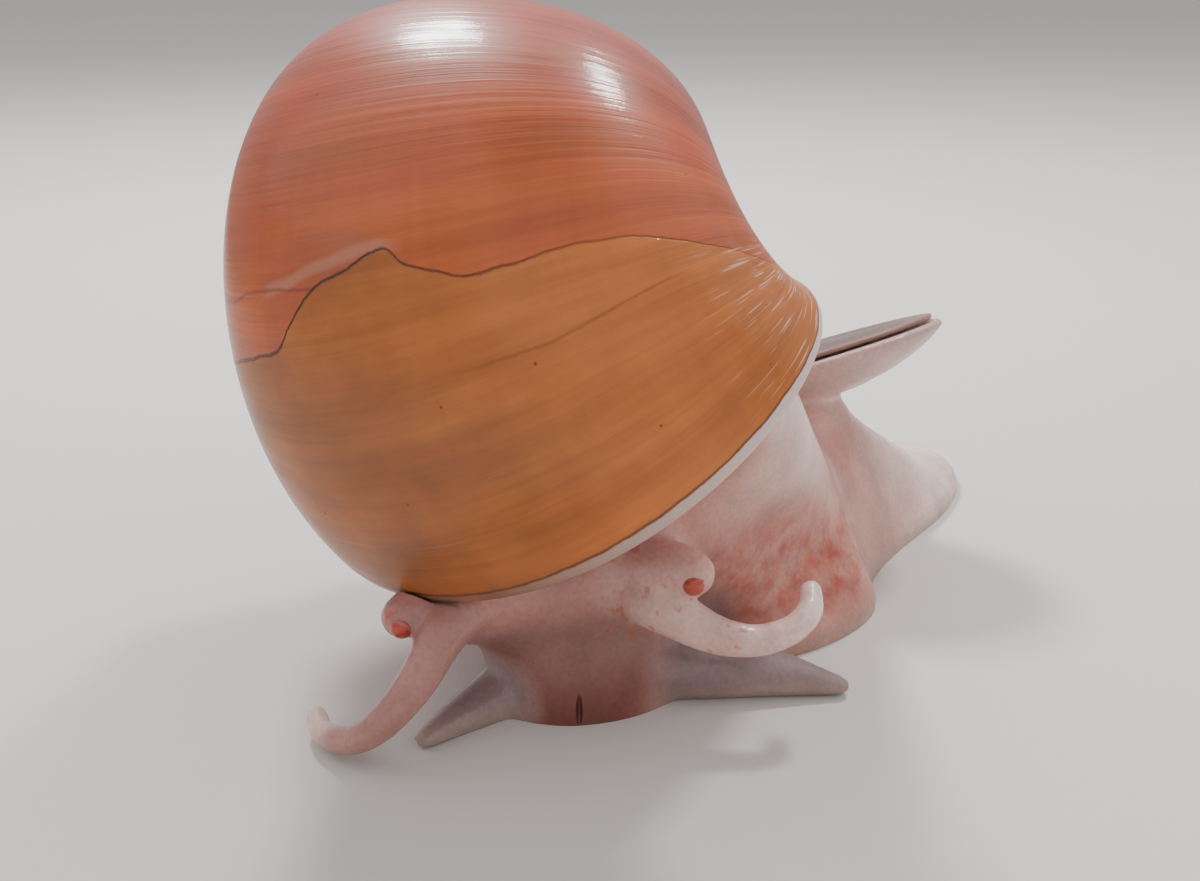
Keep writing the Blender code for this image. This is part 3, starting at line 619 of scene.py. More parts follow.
def body_forms(bm):
    """The broad forms of the body, which flow into one another."""
    foot(bm)
    for stations in (NECK_MIDDLE, NECK_HEADWARD, NECK_TAILWARD, LOBE_ROOT, BROW):
        limb(bm, stations, sides=BODY_SIDES)
    limb(bm, SNOUT, sides=BODY_SIDES, flatness=SNOUT_FLATNESS)
    ball(bm, HEAD_CENTRE, HEAD_RADII, turn=HEAD_TURN)


def fine_forms(bm):
    """The foot's thin margin again, and the limbs and lobes that stand out of the body."""
    foot(bm)
    for stations in (PALP_RIGHT, PALP_LEFT):
        limb(bm, stations, flatness=PALP_FLATNESS)
    for stations in (TENTACLE_RIGHT, TENTACLE_LEFT, EYESTALK_RIGHT, EYESTALK_LEFT):
        limb(bm, stations)
    for stations in (SIPHON, NUCHAL_LOBE_RIGHT):
        limb(bm, stations, flatness=SIPHON_FLATNESS)
    pad(bm)
    collar(bm)
    wall = bpy.context.scene.snail_shell.wall / MM
    whorl(bm, -CAVITY_TURN, PLUG_TURN, CUT_STEP, COLLAR_SIDES, wall + GAP)


def carve(base, cutters, operation="DIFFERENCE"):
    """Applies one Boolean of every object in the collection to the base, then removes those objects."""
    modifier = base.modifiers.new("carve", "BOOLEAN")
    modifier.operation = operation
    modifier.operand_type = "COLLECTION"
    modifier.collection = cutters
    modifier.solver = "MANIFOLD"
    apply_modifiers(base)
    for obj in list(cutters.objects):
        bpy.data.objects.remove(obj)


def closed_whorl(name, start, end, step, sides, inset, collection):
    """A closed stretch of whorl as an object of its own."""
    bm = bmesh.new()
    whorl(bm, start, end, step, sides, inset)
    bmesh.ops.recalc_face_normals(bm, faces=bm.faces)
    return new_piece(name, bm, collection)


def clip_to_shell(skin):
    """Cuts the skin back to a gap from the shell, inside its mouth and out."""
    wall = bpy.context.scene.snail_shell.wall / MM
    cutters = bpy.data.collections.new("cutters")
    scratch = bpy.data.collections.new("scratch")
    for made in (cutters, scratch):
        bpy.context.scene.collection.children.link(made)
    rind = closed_whorl("rind", *RIND_TURNS, CUT_STEP, CUT_SIDES, -GAP, cutters)
    closed_whorl("hollow", *HOLLOW_TURNS, CUT_STEP, CUT_SIDES, wall + GAP, scratch)
    carve(rind, scratch)
    closed_whorl("inner_whorl", *INNER_WHORL_TURNS, INNER_CUT_STEP, INNER_CUT_SIDES, -GAP, cutters)
    bm = bmesh.new()
    ball(bm, MOUTH, MOUTH_RADII)
    new_piece("mouth_slit", bm, cutters)
    carve(skin, cutters)
    for made in (cutters, scratch):
        bpy.data.collections.remove(made)


def melt(obj, voxel, rounds):
    """Joins what overlaps in the object's mesh into one closed surface, and smooths it."""
    remesh = obj.modifiers.new("melt", "REMESH")
    remesh.mode = "VOXEL"
    remesh.voxel_size = voxel
    relax = obj.modifiers.new("relax", "SMOOTH")
    relax.factor = 0.5
    relax.iterations = rounds
    apply_modifiers(obj)


def melted_skin():
    """One smooth closed skin over every soft form, in millimetres, with a flat sole."""
    settings = bpy.context.scene.snail_skin
    bm = bmesh.new()
    body_forms(bm)
    bmesh.ops.recalc_face_normals(bm, faces=bm.faces)
    skin = new_piece("skin", bm)
    melt(skin, settings.body_voxel / MM, settings.body_smoothing)
    bm = bmesh.new()
    fine_forms(bm)
    bmesh.ops.recalc_face_normals(bm, faces=bm.faces)
    bm.from_mesh(skin.data)
    bm.to_mesh(skin.data)
    bm.free()
    melt(skin, settings.voxel / MM, settings.smoothing)
    bm = bmesh.new()
    bm.from_mesh(skin.data)
    cut = bmesh.ops.bisect_plane(
        bm, geom=[*bm.verts, *bm.edges, *bm.faces], plane_co=(0, 0, 0), plane_no=(0, 0, -1), clear_outer=True
    )
    rim = [e for e in cut["geom_cut"] if isinstance(e, bmesh.types.BMEdge)]
    bmesh.ops.triangle_fill(bm, edges=rim, use_beauty=True, use_dissolve=False)
    bmesh.ops.recalc_face_normals(bm, faces=bm.faces)
    bm.to_mesh(skin.data)
    bm.free()
    return skin


def keep_largest(obj):
    """Drops every closed surface of the mesh but the one with the most points."""
    bm = bmesh.new()
    bm.from_mesh(obj.data)
    unseen = set(bm.verts)
    islands = []
    while unseen:
        start = unseen.pop()
        island, edge = [start], [start]
        while edge:
            for link in edge.pop().link_edges:
                for vert in link.verts:
                    if vert in unseen:
                        unseen.remove(vert)
                        island.append(vert)
                        edge.append(vert)
        islands.append(island)
    islands.sort(key=len, reverse=True)
    bmesh.ops.delete(bm, geom=[v for island in islands[1:] for v in island], context="VERTS")
    bm.to_mesh(obj.data)
    bm.free()


def limb_nearness(points, stations):
    """How near each point lies to a limb, as its distance to the middle line over the radius there."""
    path = np.array(smooth_path(stations, 8))
    best = np.full(len(points), 1e9)
    for x, y, z, radius in path:
        best = np.minimum(best, np.linalg.norm(points - (x, y, z), axis=1) / radius)
    return best


def fade(values, full, none):
    """1 where a value has reached `full`, 0 where it has reached `none`, and smooth between them."""
    t = np.clip((values - none) / (full - none), 0.0, 1.0)
    return t * t * (3 - 2 * t)


def limb_marks(points, marks):
    """The strongest of some marks round limbs at each point, as (stations, amount, full, none)."""
    strongest = np.zeros(len(points))
    for stations, amount, full, none in marks:
        strongest = np.maximum(strongest, amount * fade(limb_nearness(points, stations), full, none))
    return strongest


def point_marks(points, mark):
    """How strong a mark round some places is at each point, as (places, amount, full, none)."""
    places, amount, full, none = mark
    distance = np.min([np.linalg.norm(points - np.array(place), axis=1) for place in places], axis=0)
    return amount * fade(distance, full, none)


def mark_skin(skin):
    """Writes where each marking of the skin lies, as values from 0 to 1 at its points."""
    mesh = skin.data
    points = np.empty(len(mesh.vertices) * 3)
    mesh.vertices.foreach_get("co", points)
    points = points.reshape(-1, 3)
    offset = points - np.array(FOOT_FRONT)
    along, aside = offset @ np.array(FOOT_AHEAD), offset @ np.array(FOOT_ASIDE)
    measures = {"along": along, "aside": aside, "height": points[:, 2]}
    regions = {}
    for name, (amount, windows) in REGIONS.items():
        shares = [fade(measures[measure], full, none) for measure, full, none in windows]
        regions[name] = amount * np.prod(shares, axis=0)
    pale = np.maximum(limb_marks(points, PALE_LIMBS), point_marks(points, PALE_TIP))
    cool_and_shade = limb_marks(points, COOL_AND_SHADED_LIMBS) * (1 - pale)
    snout = limb_marks(points, DARK_LIMBS) * regions["snout"] * (1 - pale) * (1 - cool_and_shade)
    marks = {
        "pale": pale,
        # The blue-grey tone also darkens the right tentacle, its eyestalk and the pad's underside, as painted
        # shade.
        "cool_and_shade": np.maximum(cool_and_shade, regions["lobe"]),
        "snout": snout,
        "mottled": regions["front"] * (1 - pale) * (1 - cool_and_shade) * (1 - snout),
        "margin": regions["margin"] * (1 - pale) * (1 - snout),
        "tail": np.maximum(regions["tail"], regions["neck"]) * (1 - pale),
        "spots": np.maximum(limb_marks(points, SPOTTED_LIMBS), point_marks(points, EYE_SPOTS)),
    }
    for name in MARKINGS:
        layer = mesh.attributes.new(name, "FLOAT", "POINT")
        layer.data.foreach_set("value", marks[name].astype(np.float32))


def feed(tree, node, inputs):
    """Gives each named input of a node its value, or the output that feeds it."""
    for socket, value in inputs.items():
        if isinstance(value, bpy.types.NodeSocket):
            tree.links.new(value, node.inputs[socket])
        else:
            node.inputs[socket].default_value = value


def add(tree, kind, inputs=None, give=0, **settings):
    """Adds a node with its settings and inputs, and returns the output that `give` names or numbers."""
    node = tree.nodes.new(kind)
    for name, value in settings.items():
        setattr(node, name, value)
    feed(tree, node, inputs or {})
    return node.outputs[give]


def new_material(name):
    """An empty material with only its shader, and the shader itself."""
    material = bpy.data.materials.new(name)
    material.use_nodes = True
    return material, material.node_tree, material.node_tree.nodes["Principled BSDF"]


def fineness(size):
    """The scale of a noise on Object coordinates whose features are `size` mm across."""
    return 1 / (size * MM)


def layered(tree, colour, layers):
    """Lays tones over a colour, as (tone, share, ...), where a layer's shares are multiplied."""
    for tone, share, *more in layers:
        for other in more:
            share = add(tree, "ShaderNodeMath", {0: share, 1: other}, operation="MULTIPLY")
        inputs = {FACTOR: share, FIRST: colour, SECOND: tone}
        colour = add(tree, "ShaderNodeMix", inputs, RESULT, data_type="RGBA")
    return colour


def shaded(tree, colour, low, high, shades):
    """Shades a colour by patterns that run from `low` to `high`, as (pattern, darkest, lightest)."""
    for pattern, darkest, lightest in shades:
        inputs = {"Value": pattern, "From Min": low, "From Max": high, "To Min": darkest, "To Max": lightest}
        inputs = {FACTOR: 1.0, FIRST: colour, SECOND: add(tree, "ShaderNodeMapRange", inputs)}
        colour = add(tree, "ShaderNodeMix", inputs, RESULT, data_type="RGBA", blend_type="MULTIPLY")
    return colour


def relief(tree, heights):
    """The normal of a surface raised by each of (height, strength, mm). A height below 0 mm is cut in."""
    normal = None
    for height, strength, rise in heights:
        inputs = {"Height": height, "Strength": strength, "Distance": abs(rise) * MM}
        if normal:
            inputs["Normal"] = normal
        normal = add(tree, "ShaderNodeBump", inputs, invert=rise < 0)
    return normal


def across_whorl(degrees):
    """An angle on the outer half of the whorl, from -90 to 90 degrees, as a share from 0 to 1."""
    return (degrees + 90) / 180


def since_line(tree, angle, turn, line):
    """How far the shell grew past a line across the whorl, in mm, with the line as (degrees, turn)."""
    course = add(tree, "ShaderNodeFloatCurve", {"Value": angle})
    mapping = course.node.mapping
    curve = mapping.curves[0]
    first, *middle, last = [(across_whorl(degrees), -at / 2) for degrees, at in sorted(line)]
    curve.points[0].location = first
    curve.points[1].location = last
    for x, y in middle:
        curve.points.new(x, y)
    for point in curve.points:
        point.handle_type = "AUTO_CLAMPED"
    mapping.update()
    past = add(tree, "ShaderNodeMath", {0: course, 1: 2.0, 2: turn}, operation="MULTIPLY_ADD")
    return add(tree, "ShaderNodeMath", {0: past, 1: ALONG_MM}, operation="MULTIPLY")


def between(tree, value, low, high, soft):
    """1 where the value lies between two levels, fading to 0 over `soft` on either side."""
    rise = add(tree, "ShaderNodeMapRange", {"Value": value, "From Min": low - soft, "From Max": low})
    fall = add(tree, "ShaderNodeMapRange", {"Value": value, "From Min": high + soft, "From Max": high})
    return add(tree, "ShaderNodeMath", {0: rise, 1: fall}, operation="MULTIPLY")


def snail_shell_material():
    """Wet shell under a thin horny skin: lime laid down in growth lines, which gives streaked highlights."""
    colours = bpy.context.scene.snail_shell
    material, tree, shader = new_material("glossy_snail_shell")
    place = add(tree, "ShaderNodeTexCoord", give="Object")
    grown = add(tree, "ShaderNodeAttribute", give="Vector", attribute_name="grown")
    cosine, sine, turn = add(tree, "ShaderNodeSeparateXYZ", {"Vector": grown}).node.outputs
    radians = add(tree, "ShaderNodeMath", {0: sine, 1: cosine}, operation="ARCTAN2")
    half = math.pi / 2
    angle = add(tree, "ShaderNodeMapRange", {"Value": radians, "From Min": -half, "From Max": half})
    # Lines across the shell are ragged: they wander by some 0.2 mm over every 2 mm.
    inputs = {"Vector": place, "Scale": fineness(2.2), "Detail": 4.0, "Roughness": 0.6}
    ragged = add(tree, "ShaderNodeTexNoise", inputs)
    wander = add(tree, "ShaderNodeMapRange", {"Value": ragged, "To Min": -0.011, "To Max": 0.011})
    ragged_turn = add(tree, "ShaderNodeMath", {0: turn, 1: wander}, operation="ADD")
    # Patterns that follow the growth: lines 0.7 mm apart, bands 5 mm apart, streaks along the whorl 3 mm
    # apart, clouds about 12 mm across, and scratches 0.3 mm wide and 5 mm long.
    patterns = {}
    for name, around_mm, along_mm, detail in (
        ("lines", 30, 0.7, 3.0),
        ("bands", 60, 5, 4.0),
        ("streaks", 3, 60, 3.0),
        ("clouds", 14, 10, 4.0),
        ("scratches", 5, 0.3, 1.0),
    ):
        scale = (AROUND_MM / around_mm, AROUND_MM / around_mm, ALONG_MM / along_mm)
        at = add(tree, "ShaderNodeMapping", {"Vector": grown, "Scale": scale})
        inputs = {"Vector": at, "Scale": 1.0, "Detail": detail, "Roughness": 0.6}
        patterns[name] = add(tree, "ShaderNodeTexNoise", inputs)
    # Pits and specks of dirt lie some 4 mm apart.
    cells = add(tree, "ShaderNodeTexVoronoi", {"Vector": place, "Scale": fineness(4.0)})
    since, past_lobe, scar, faint, second = [
        since_line(tree, angle, ragged_turn, line)
        for line in (BREAK_LINE, LOBE_LINE, SCAR_LINE, FAINT_LINE, SECOND_LINE)
    ]
    levels = {}
    for name, value, start, end, lowest, highest in (
        ("cloudy", patterns["clouds"], 0.35, 0.65, 0.0, 1.0),
        ("aged", since, -4.0, -40.0, 0.0, 1.0),
        ("ripe", sine, 0.45, -0.75, 0.0, 1.0),
        ("newer", since, -0.2, 0.1, 0.0, 1.0),
        ("lobed", past_lobe, -0.3, 0.9, 0.0, 1.0),
        ("older", since, 0.0, -0.3, 0.0, 1.0),
        ("break_depth", angle, 0.05, 0.62, 0.1, 0.9),
        ("corner", sine, -0.72, -0.95, 0.0, 1.0),
        ("scratched", patterns["scratches"], 0.63, 0.72, 0.0, 0.75),
        ("speck", cells, 0.045, 0.02, 0.0, 1.0),
        ("lip_corner", sine, 0.3, -0.9, 0.0, 1.0),
        ("dull", patterns["lines"], 0.3, 0.7, 0.34, 0.5),
    ):
        inputs = {"Value": value, "From Min": start, "From Max": end, "To Min": lowest, "To Max": highest}
        levels[name] = add(tree, "ShaderNodeMapRange", inputs)
    # The older shell is redder the older it is. The newer is tan, and orange towards the corner.
    tones = []
    for level, cloud, young, ripe in (
        ("aged", 0.5, colours.old, colours.rose),
        ("ripe", 0.35, colours.fresh, colours.honey),
    ):
        inputs = {0: levels["cloudy"], 1: cloud, 2: levels[level]}
        share = add(tree, "ShaderNodeMath", inputs, operation="MULTIPLY_ADD", use_clamp=True)
        tones.append(layered(tree, young, [(ripe, share)]))
    colour = layered(tree, tones[0], [(tones[1], levels["newer"])])
    shades = (("clouds", 0.88, 1.14), ("bands", 0.7, 1.2), ("lines", 0.92, 1.06), ("streaks", 0.93, 1.06))
    colour = shaded(tree, colour, 0.3, 0.7, [(patterns[name], *factors) for name, *factors in shades])
    lobe_sides, left_sides, right_sides = [
        between(tree, angle, across_whorl(low), across_whorl(high), soft)
        for low, high, soft in ((14, 44, 0.03), (33, 70, 0.03), (-42, -4, 0.04))
    ]
    # The break is a dark line about 0.3 mm wide, deepest on the side away from the shell's corner.
    gap = between(tree, since, -0.03, 0.03, 0.16)
    crack = add(tree, "ShaderNodeMath", {0: gap, 1: levels["break_depth"]}, operation="MULTIPLY")
    # The lip is bare lime, paler and broader at the corner, with a thin brown line behind it.
    lip_tone = layered(tree, linear("#94674e"), [(colours.lip, levels["lip_corner"])])
    inputs = {0: levels["lip_corner"], 1: 0.024, 2: ragged_turn}
    broad = add(tree, "ShaderNodeMath", inputs, operation="MULTIPLY_ADD")
    # Beside the break lies a mended lobe, greyer than the rest, with a pale scar along it. White
    # scratches gather towards the shell's corner, where it drags over stones.
    layers = (
        (linear("#97553f"), levels["lobed"], levels["older"], lobe_sides, 0.4),
        (linear("#bf8672"), between(tree, scar, -0.3, 0.3, 0.4), lobe_sides, 0.45),
        (linear("#6e2f22"), between(tree, faint, -0.05, 0.05, 0.2), left_sides, 0.5),
        (linear("#6e3a1a"), between(tree, second, -0.05, 0.05, 0.2), right_sides, 0.45),
        (linear("#3c1410"), crack),
        (linear("#e6cfc2"), levels["corner"], between(tree, turn, -0.74, -0.04, 0.06), levels["scratched"]),
        (linear("#6b3420"), levels["speck"]),
        (linear("#74442a"), between(tree, broad, -0.026, -0.02, 0.008)),
        (lip_tone, between(tree, broad, -0.01, 0.5, 0.008)),
    )
    heights = (
        (patterns["bands"], 0.4, 0.3),
        (patterns["lines"], 0.8, 0.07),
        (levels["newer"], 0.5, -0.2),
        (crack, 0.6, -0.2),
    )
    normal = relief(tree, heights)
    finish = {
        "Base Color": layered(tree, colour, layers),
        "Normal": normal,
        "Coat Normal": normal,
        "Roughness": levels["dull"],
        "IOR": 1.5,
        "Specular IOR Level": 0.25,
        "Coat Weight": 0.4,
        "Coat Roughness": 0.1,
        "Subsurface Weight": 0.08,
        "Subsurface Radius": (1.0, 0.45, 0.2),
        "Subsurface Scale": 1.2 * MM,
    }
    feed(tree, shader, finish)
    return material


def snail_flesh_material():
    """Wet snail skin: thin, milky and speckled with pigment, under a film of slime that gives the gloss."""
    colours = bpy.context.scene.snail_skin
    material, tree, shader = new_material("wet_snail_skin")
    place = add(tree, "ShaderNodeTexCoord", give="Object")
    marks = {name: add(tree, "ShaderNodeAttribute", give="Fac", attribute_name=name) for name in MARKINGS}
    # Clouds in the flesh are about 5 mm across, its red net 2.2 mm, its flecks 1.3 mm and its stipple
    # 0.45 mm, which is coarser than the real grains of pigment, so that it shows.
    grains = {}
    for name, size, detail in (
        ("clouds", 5.0, 3.0),
        ("net", 2.2, 4.0),
        ("flecks", 1.3, 2.0),
        ("stipple", 0.45, 2.0),
    ):
        inputs = {"Vector": place, "Scale": fineness(size), "Detail": detail}
        grains[name] = add(tree, "ShaderNodeTexNoise", inputs)
    layers = [
        (colours.pale, marks["tail"], 0.85),
        (colours.snout, marks["snout"], 0.9),
        # Blue-grey on thin flesh, and painted shade on the right tentacle, its eyestalk and the pad's
        # underside.
        (colours.cool_and_shade, marks["cool_and_shade"], 0.8),
        (colours.pale, marks["pale"]),
        (linear("#a98f82"), marks["margin"], 0.6),
    ]
    for grain, low, high, mark, tone, amount in (
        ("net", 0.42, 0.66, "mottled", colours.blush, 0.75),
        ("flecks", 0.54, 0.62, "mottled", linear("#c4583e"), 0.4),
        ("flecks", 0.59, 0.64, "spots", linear("#cf5238"), 0.8),
    ):
        inputs = {"Value": grains[grain], "From Min": low, "From Max": high, "To Max": amount}
        layers.append((tone, add(tree, "ShaderNodeMapRange", inputs), marks[mark]))
    colour = layered(tree, colours.flesh, layers)
    shades = ((grains["clouds"], 0.84, 1.12), (grains["stipple"], 0.9, 1.06))
    normal = relief(tree, ((grains["net"], 0.3, 0.2), (grains["stipple"], 0.4, 0.08)))
    finish = {
        "Base Color": shaded(tree, colour, 0.32, 0.68, shades),
        "Normal": normal,
        "Coat Normal": normal,
        "Roughness": 0.45,
        "IOR": 1.38,
        "Coat Weight": 0.5,
        "Coat Roughness": 0.22,
        "Subsurface Weight": 0.3,
        "Subsurface Radius": (1.0, 0.4, 0.3),
        "Subsurface Scale": 1.5 * MM,
    }
    feed(tree, shader, finish)
    return material


def snail_eye_material():
    """A snail's eye: a clear, wet cornea over orange-red pigment, paler where the skin closes round it."""
    colours = bpy.context.scene.snail_eyes
    material, tree, shader = new_material("wet_snail_eye")
    depth = add(tree, "ShaderNodeAttribute", give="Fac", attribute_name="from_rim")
    place = add(tree, "ShaderNodeTexCoord", give="Object")
    # The pigment's edge is uneven over some 0.6 mm.
    grain = add(tree, "ShaderNodeTexNoise", {"Vector": place, "Scale": fineness(0.6), "Detail": 3.0})
    shifted = add(tree, "ShaderNodeMath", {0: grain, 1: depth}, operation="ADD")
    inner = add(tree, "ShaderNodeMapRange", {"Value": shifted, "From Min": 0.75, "From Max": 0.95})
    finish = {
        "Base Color": layered(tree, colours.rim, [(colours.iris, inner)]),
        "Roughness": 0.3,
        "IOR": 1.38,
        "Coat Weight": 0.8,
        "Coat Roughness": 0.06,
    }
    feed(tree, shader, finish)
    return material


def operculum_material():
    """Horn laid down in rings: dark brown, thin and paler at the edge, with a dull gloss."""
    colours = bpy.context.scene.snail_operculum
    material, tree, shader = new_material("snail_operculum_horn")
    out = add(tree, "ShaderNodeAttribute", give="Fac", attribute_name="ring")
    place = add(tree, "ShaderNodeTexCoord", give="Object")
    warp = add(tree, "ShaderNodeTexNoise", {"Vector": place, "Scale": fineness(6.0), "Detail": 3.0})
    wavy = add(tree, "ShaderNodeMath", {0: warp, 1: 0.03, 2: out}, operation="MULTIPLY_ADD")
    # Fine growth lines lie about 0.4 mm apart over a half width of 11 mm.
    phase = add(tree, "ShaderNodeMath", {0: wavy, 1: 2 * math.pi * OPERCULUM_LINES}, operation="MULTIPLY")
    rings = add(tree, "ShaderNodeMath", {0: phase}, operation="SINE")
    edge = add(tree, "ShaderNodeMapRange", {"Value": wavy, "From Min": 0.8, "From Max": 1.0})
    colour = layered(tree, colours.horn, [(colours.edge, edge)])
    finish = {
        "Base Color": shaded(tree, colour, -1.0, 1.0, [(rings, 0.72, 1.18)]),
        "Normal": relief(tree, [(rings, 0.7, 0.06)]),
        "Roughness": 0.42,
        "IOR": 1.54,
        "Coat Weight": 0.3,
        "Coat Roughness": 0.25,
    }
    feed(tree, shader, finish)
    return material


def plain_material(name, colour, roughness):
    """Painted board: one even tone, as a studio floor has."""
    material, tree, shader = new_material(name)
    feed(tree, shader, {"Base Color": colour, "Roughness": roughness})
    return material


class SNAIL_OT_shell(bpy.types.Operator):
    """Grow the shell: carry the mouth's outline round the coiling axis to the apex, then line the mouth"""

    bl_idname = "snail.shell"
    bl_label = "Shell"

    def execute(self, context):
        settings = context.scene.snail_shell
        wall = settings.wall / MM
        bm = bmesh.new()
        turn_layer = bm.verts.layers.float.new("turn")
        lip = lip_ring(bm, settings.sides, 0.0)
        around = bm.verts.layers.float["around"]
        start = edges = ring_edges(set(lip))
        back = growth_matrix(-settings.step)
        for i in range(round(settings.turns * 2 * math.pi / settings.step)):
            verts, edges = draw_on(bm, edges, back)
            for vert in verts:
                vert[turn_layer] = -(i + 1) * settings.step
        bmesh.ops.pointmerge(bm, verts=verts, merge_co=sum((v.co for v in verts), Vector()) / len(verts))
        edges = start
        for share, forward in LIP_ROUNDING:
            verts, edges = draw_on(bm, edges)
            for vert in verts:
                vert.co = lip_point(vert[around], wall * share, forward * wall / 2)
        for i in range(round(CAVITY_TURN / settings.step)):
            verts, edges = draw_on(bm, edges, back)
            for vert in verts:
                vert[turn_layer] = -(i + 1) * settings.step
        close_ring(bm, edges)
        bmesh.ops.recalc_face_normals(bm, faces=bm.faces)
        bmesh.ops.transform(bm, matrix=to_metres(), verts=bm.verts)
        shell = new_piece("grown_shell", bm)
        self.mark(shell.data)
        round_off = shell.modifiers.new("rounding", "SUBSURF")
        round_off.levels = round_off.render_levels = 1
        shell.data.materials.append(snail_shell_material())
        shell.data.shade_smooth()
        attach(shell, "root")
        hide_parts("shell")
        return {"FINISHED"}

    def mark(self, mesh):
        """Keeps each point's place on the whorl: the cosine and sine of its angle round it, and its turn."""
        count = len(mesh.vertices)
        around, turn = np.empty(count), np.empty(count)
        mesh.attributes["around"].data.foreach_get("value", around)
        mesh.attributes["turn"].data.foreach_get("value", turn)
        grown = mesh.attributes.new("grown", "FLOAT_VECTOR", "POINT")
        packed = np.stack([np.cos(around), np.sin(around), turn], axis=1).astype(np.float32)
        grown.data.foreach_set("vector", packed.ravel())


class SNAIL_OT_skin(bpy.types.Operator):
    """Melt the foot, neck, head and limbs into one skin, fit it to the shell and mark its colours"""

    bl_idname = "snail.skin"
    bl_label = "Skin"

    def execute(self, context):
        skin = melted_skin()
        clip_to_shell(skin)
        keep_largest(skin)
        mark_skin(skin)
        skin.data.transform(to_metres())
        skin.data.shade_smooth()
        skin.data.set_sharp_from_angle(angle=CREASE)
        skin.data.materials.clear()
        skin.data.materials.append(snail_flesh_material())
        skin.name = "snail_skin"
        flesh = [name for name in frame["nodes"] if name not in ("shell", "operculum", *EYES)]
        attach(skin, "root")
        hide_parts(*flesh)
        return {"FINISHED"}


class SNAIL_OT_eyes(bpy.types.Operator):
    """Set a domed eye into each eyestalk"""

    bl_idname = "snail.eyes"
    bl_label = "Eyes"

    def execute(self, context):
        radius = context.scene.snail_eyes.radius / MM
        material = snail_eye_material()
        for node, centre in EYES.items():
            out = (centre - EYE_STALKS[node]).normalized()
            bm = bmesh.new()
            bmesh.ops.create_uvsphere(bm, u_segments=32, v_segments=20, radius=radius)
            layer = bm.verts.layers.float.new("from_rim")
            for vert in bm.verts:
                vert[layer] = vert.co.z / radius
            flatten = Matrix.Diagonal((1.0, 1.0, EYE_DEPTH, 1.0))
            spin = out.to_track_quat("Z", "Y").to_matrix().to_4x4() @ flatten
            bmesh.ops.transform(bm, matrix=to_metres() @ Matrix.Translation(centre) @ spin, verts=bm.verts)
            eye = new_piece(node + "_dome", bm)
            eye.data.materials.append(material)
            eye.data.shade_smooth()
            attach(eye, "root")
            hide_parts(node)
        return {"FINISHED"}


class SNAIL_OT_operculum(bpy.types.Operator):
    """Lay the horny plate on its pad, ring by ring from its edge to its middle"""

    bl_idname = "snail.operculum"
    bl_label = "Operculum"

    def execute(self, context):
        settings = context.scene.snail_operculum
        axes = Matrix((OPERCULUM_LONG, OPERCULUM_WIDE, OPERCULUM_UP)).transposed().to_4x4()
        place = Matrix.Translation(OPERCULUM_CENTRE + OPERCULUM_UP * GAP) @ axes
        bm = bmesh.new()
        layer = bm.verts.layers.float.new("ring")
        verts = bmesh.ops.create_circle(bm, cap_ends=False, segments=PLATE_SIDES, radius=1.0)["verts"]
        for vert in verts:
            vert[layer] = 1.0
            vert.co.x *= OPERCULUM_HALF_LENGTH - PAD_RIM
            vert.co.y *= OPERCULUM_HALF_WIDTH - PAD_RIM
        edges = ring_edges(set(verts))
        for i in range(settings.rings - 1):
            share = 1 - (i + 1) / settings.rings
            last = 1 - i / settings.rings
            verts, edges = draw_on(bm, edges, Matrix.Scale(share / last, 4))
            for vert in verts:
                vert[layer] = share
        close_ring(bm, edges)
        for vert in bm.verts:
            share = vert[layer]
            vert.co.z = OPERCULUM_RISE * (1 - share**2) + OPERCULUM_WAVE * math.cos(share * OPERCULUM_WAVES)
        bmesh.ops.recalc_face_normals(bm, faces=bm.faces)
        if sum(face.normal.z for face in bm.faces) < 0:
            bmesh.ops.reverse_faces(bm, faces=bm.faces)
        bmesh.ops.transform(bm, matrix=to_metres() @ place, verts=bm.verts)
        plate = new_piece("operculum_plate", bm)
        thick = plate.modifiers.new("thickness", "SOLIDIFY")
        thick.thickness = (OPERCULUM_THICK - GAP) * MM
        thick.offset = 1.0
        plate.data.materials.append(operculum_material())
        plate.data.shade_smooth()
        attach(plate, "root")
        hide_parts("operculum")
        return {"FINISHED"}


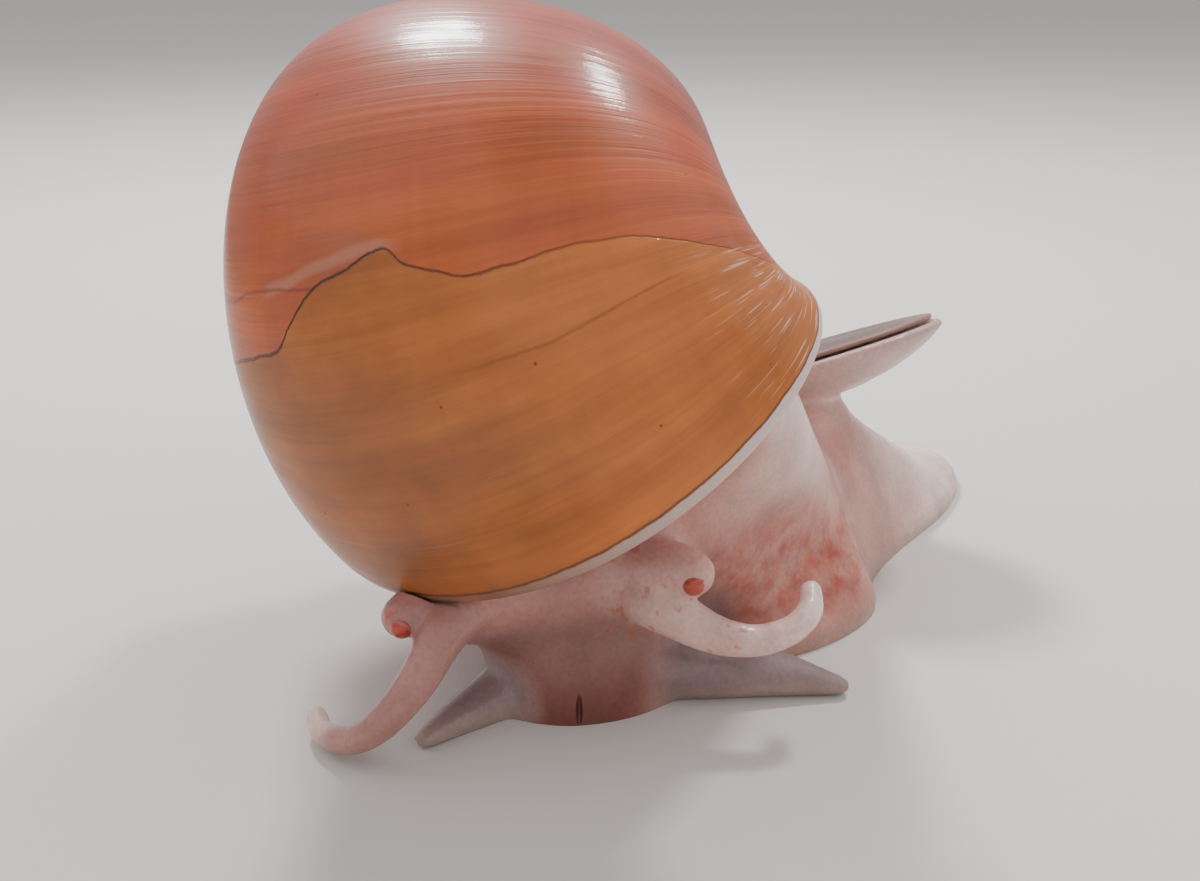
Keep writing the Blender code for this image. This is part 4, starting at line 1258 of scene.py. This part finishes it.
class SNAIL_OT_stage(bpy.types.Operator):
    """Set out the floor, the lights and the camera"""

    bl_idname = "snail.stage"
    bl_label = "Stage"

    def execute(self, context):
        settings = context.scene.snail_stage
        scene = context.scene
        bm = bmesh.new()
        bmesh.ops.create_grid(bm, x_segments=1, y_segments=1, size=FLOOR_HALF_WIDTH)
        floor = new_piece("floor", bm)
        floor.data.materials.append(plain_material("matt_painted_board", settings.floor, 0.8))
        for name, place, size, power, share in LIGHTS:
            light = bpy.data.lights.new(name, "AREA")
            light.energy = getattr(settings, power) * share
            light.size = size
            lamp = bpy.data.objects.new(name, light)
            lamp.location = place
            lamp.rotation_euler = (LIGHTS_AIM - Vector(place)).to_track_quat("-Z", "Y").to_euler()
            scene.collection.objects.link(lamp)
        world = bpy.data.worlds.new("soft_studio")
        world.use_nodes = True
        feed(world.node_tree, world.node_tree.nodes["Background"], {"Color": SKY, "Strength": SKY_STRENGTH})
        scene.world = world
        lens = bpy.data.cameras.new("camera")
        lens.sensor_width = CAMERA_SENSOR
        lens.lens = CAMERA_LENS
        lens.clip_start = 0.005
        camera = bpy.data.objects.new("camera", lens)
        camera.location = CAMERA_PLACE * MM
        camera.rotation_euler = (CAMERA_PITCH, 0, 0)
        scene.collection.objects.link(camera)
        scene.camera = camera
        return {"FINISHED"}


class SNAIL_PT_panel(bpy.types.Panel):
    """Lists every operator with the settings that it reads"""

    bl_idname = "SNAIL_PT_panel"
    bl_label = "Apple snail"
    bl_space_type = "VIEW_3D"
    bl_region_type = "UI"
    bl_category = "Snail"

    def draw(self, context):
        for operator, group in zip(OPERATORS, GROUPS):
            box = self.layout.box()
            box.operator(operator.bl_idname)
            settings = getattr(context.scene, group)
            for name in settings.bl_rna.properties.keys():
                if name not in ("rna_type", "name"):
                    box.prop(settings, name)


GROUPS = {
    "snail_shell": SnailShellSettings,
    "snail_skin": SnailSkinSettings,
    "snail_eyes": SnailEyeSettings,
    "snail_operculum": SnailOperculumSettings,
    "snail_stage": SnailStageSettings,
}
OPERATORS = (SNAIL_OT_shell, SNAIL_OT_skin, SNAIL_OT_eyes, SNAIL_OT_operculum, SNAIL_OT_stage)


def register():
    """Registers the classes, and gives every scene their settings."""
    for cls in (*GROUPS.values(), *OPERATORS, SNAIL_PT_panel):
        bpy.utils.register_class(cls)
    for name, group in GROUPS.items():
        setattr(bpy.types.Scene, name, PointerProperty(type=group))


def unregister():
    """Takes the settings and the classes away again."""
    for name in GROUPS:
        delattr(bpy.types.Scene, name)
    for cls in (SNAIL_PT_panel, *OPERATORS[::-1], *GROUPS.values()):
        bpy.utils.unregister_class(cls)


def main():
    """Builds every piece and the stage."""
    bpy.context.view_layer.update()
    register()
    bpy.ops.snail.shell()
    bpy.ops.snail.skin()
    bpy.ops.snail.eyes()
    bpy.ops.snail.operculum()
    bpy.ops.snail.stage()


if __name__ == "__main__":
    main()
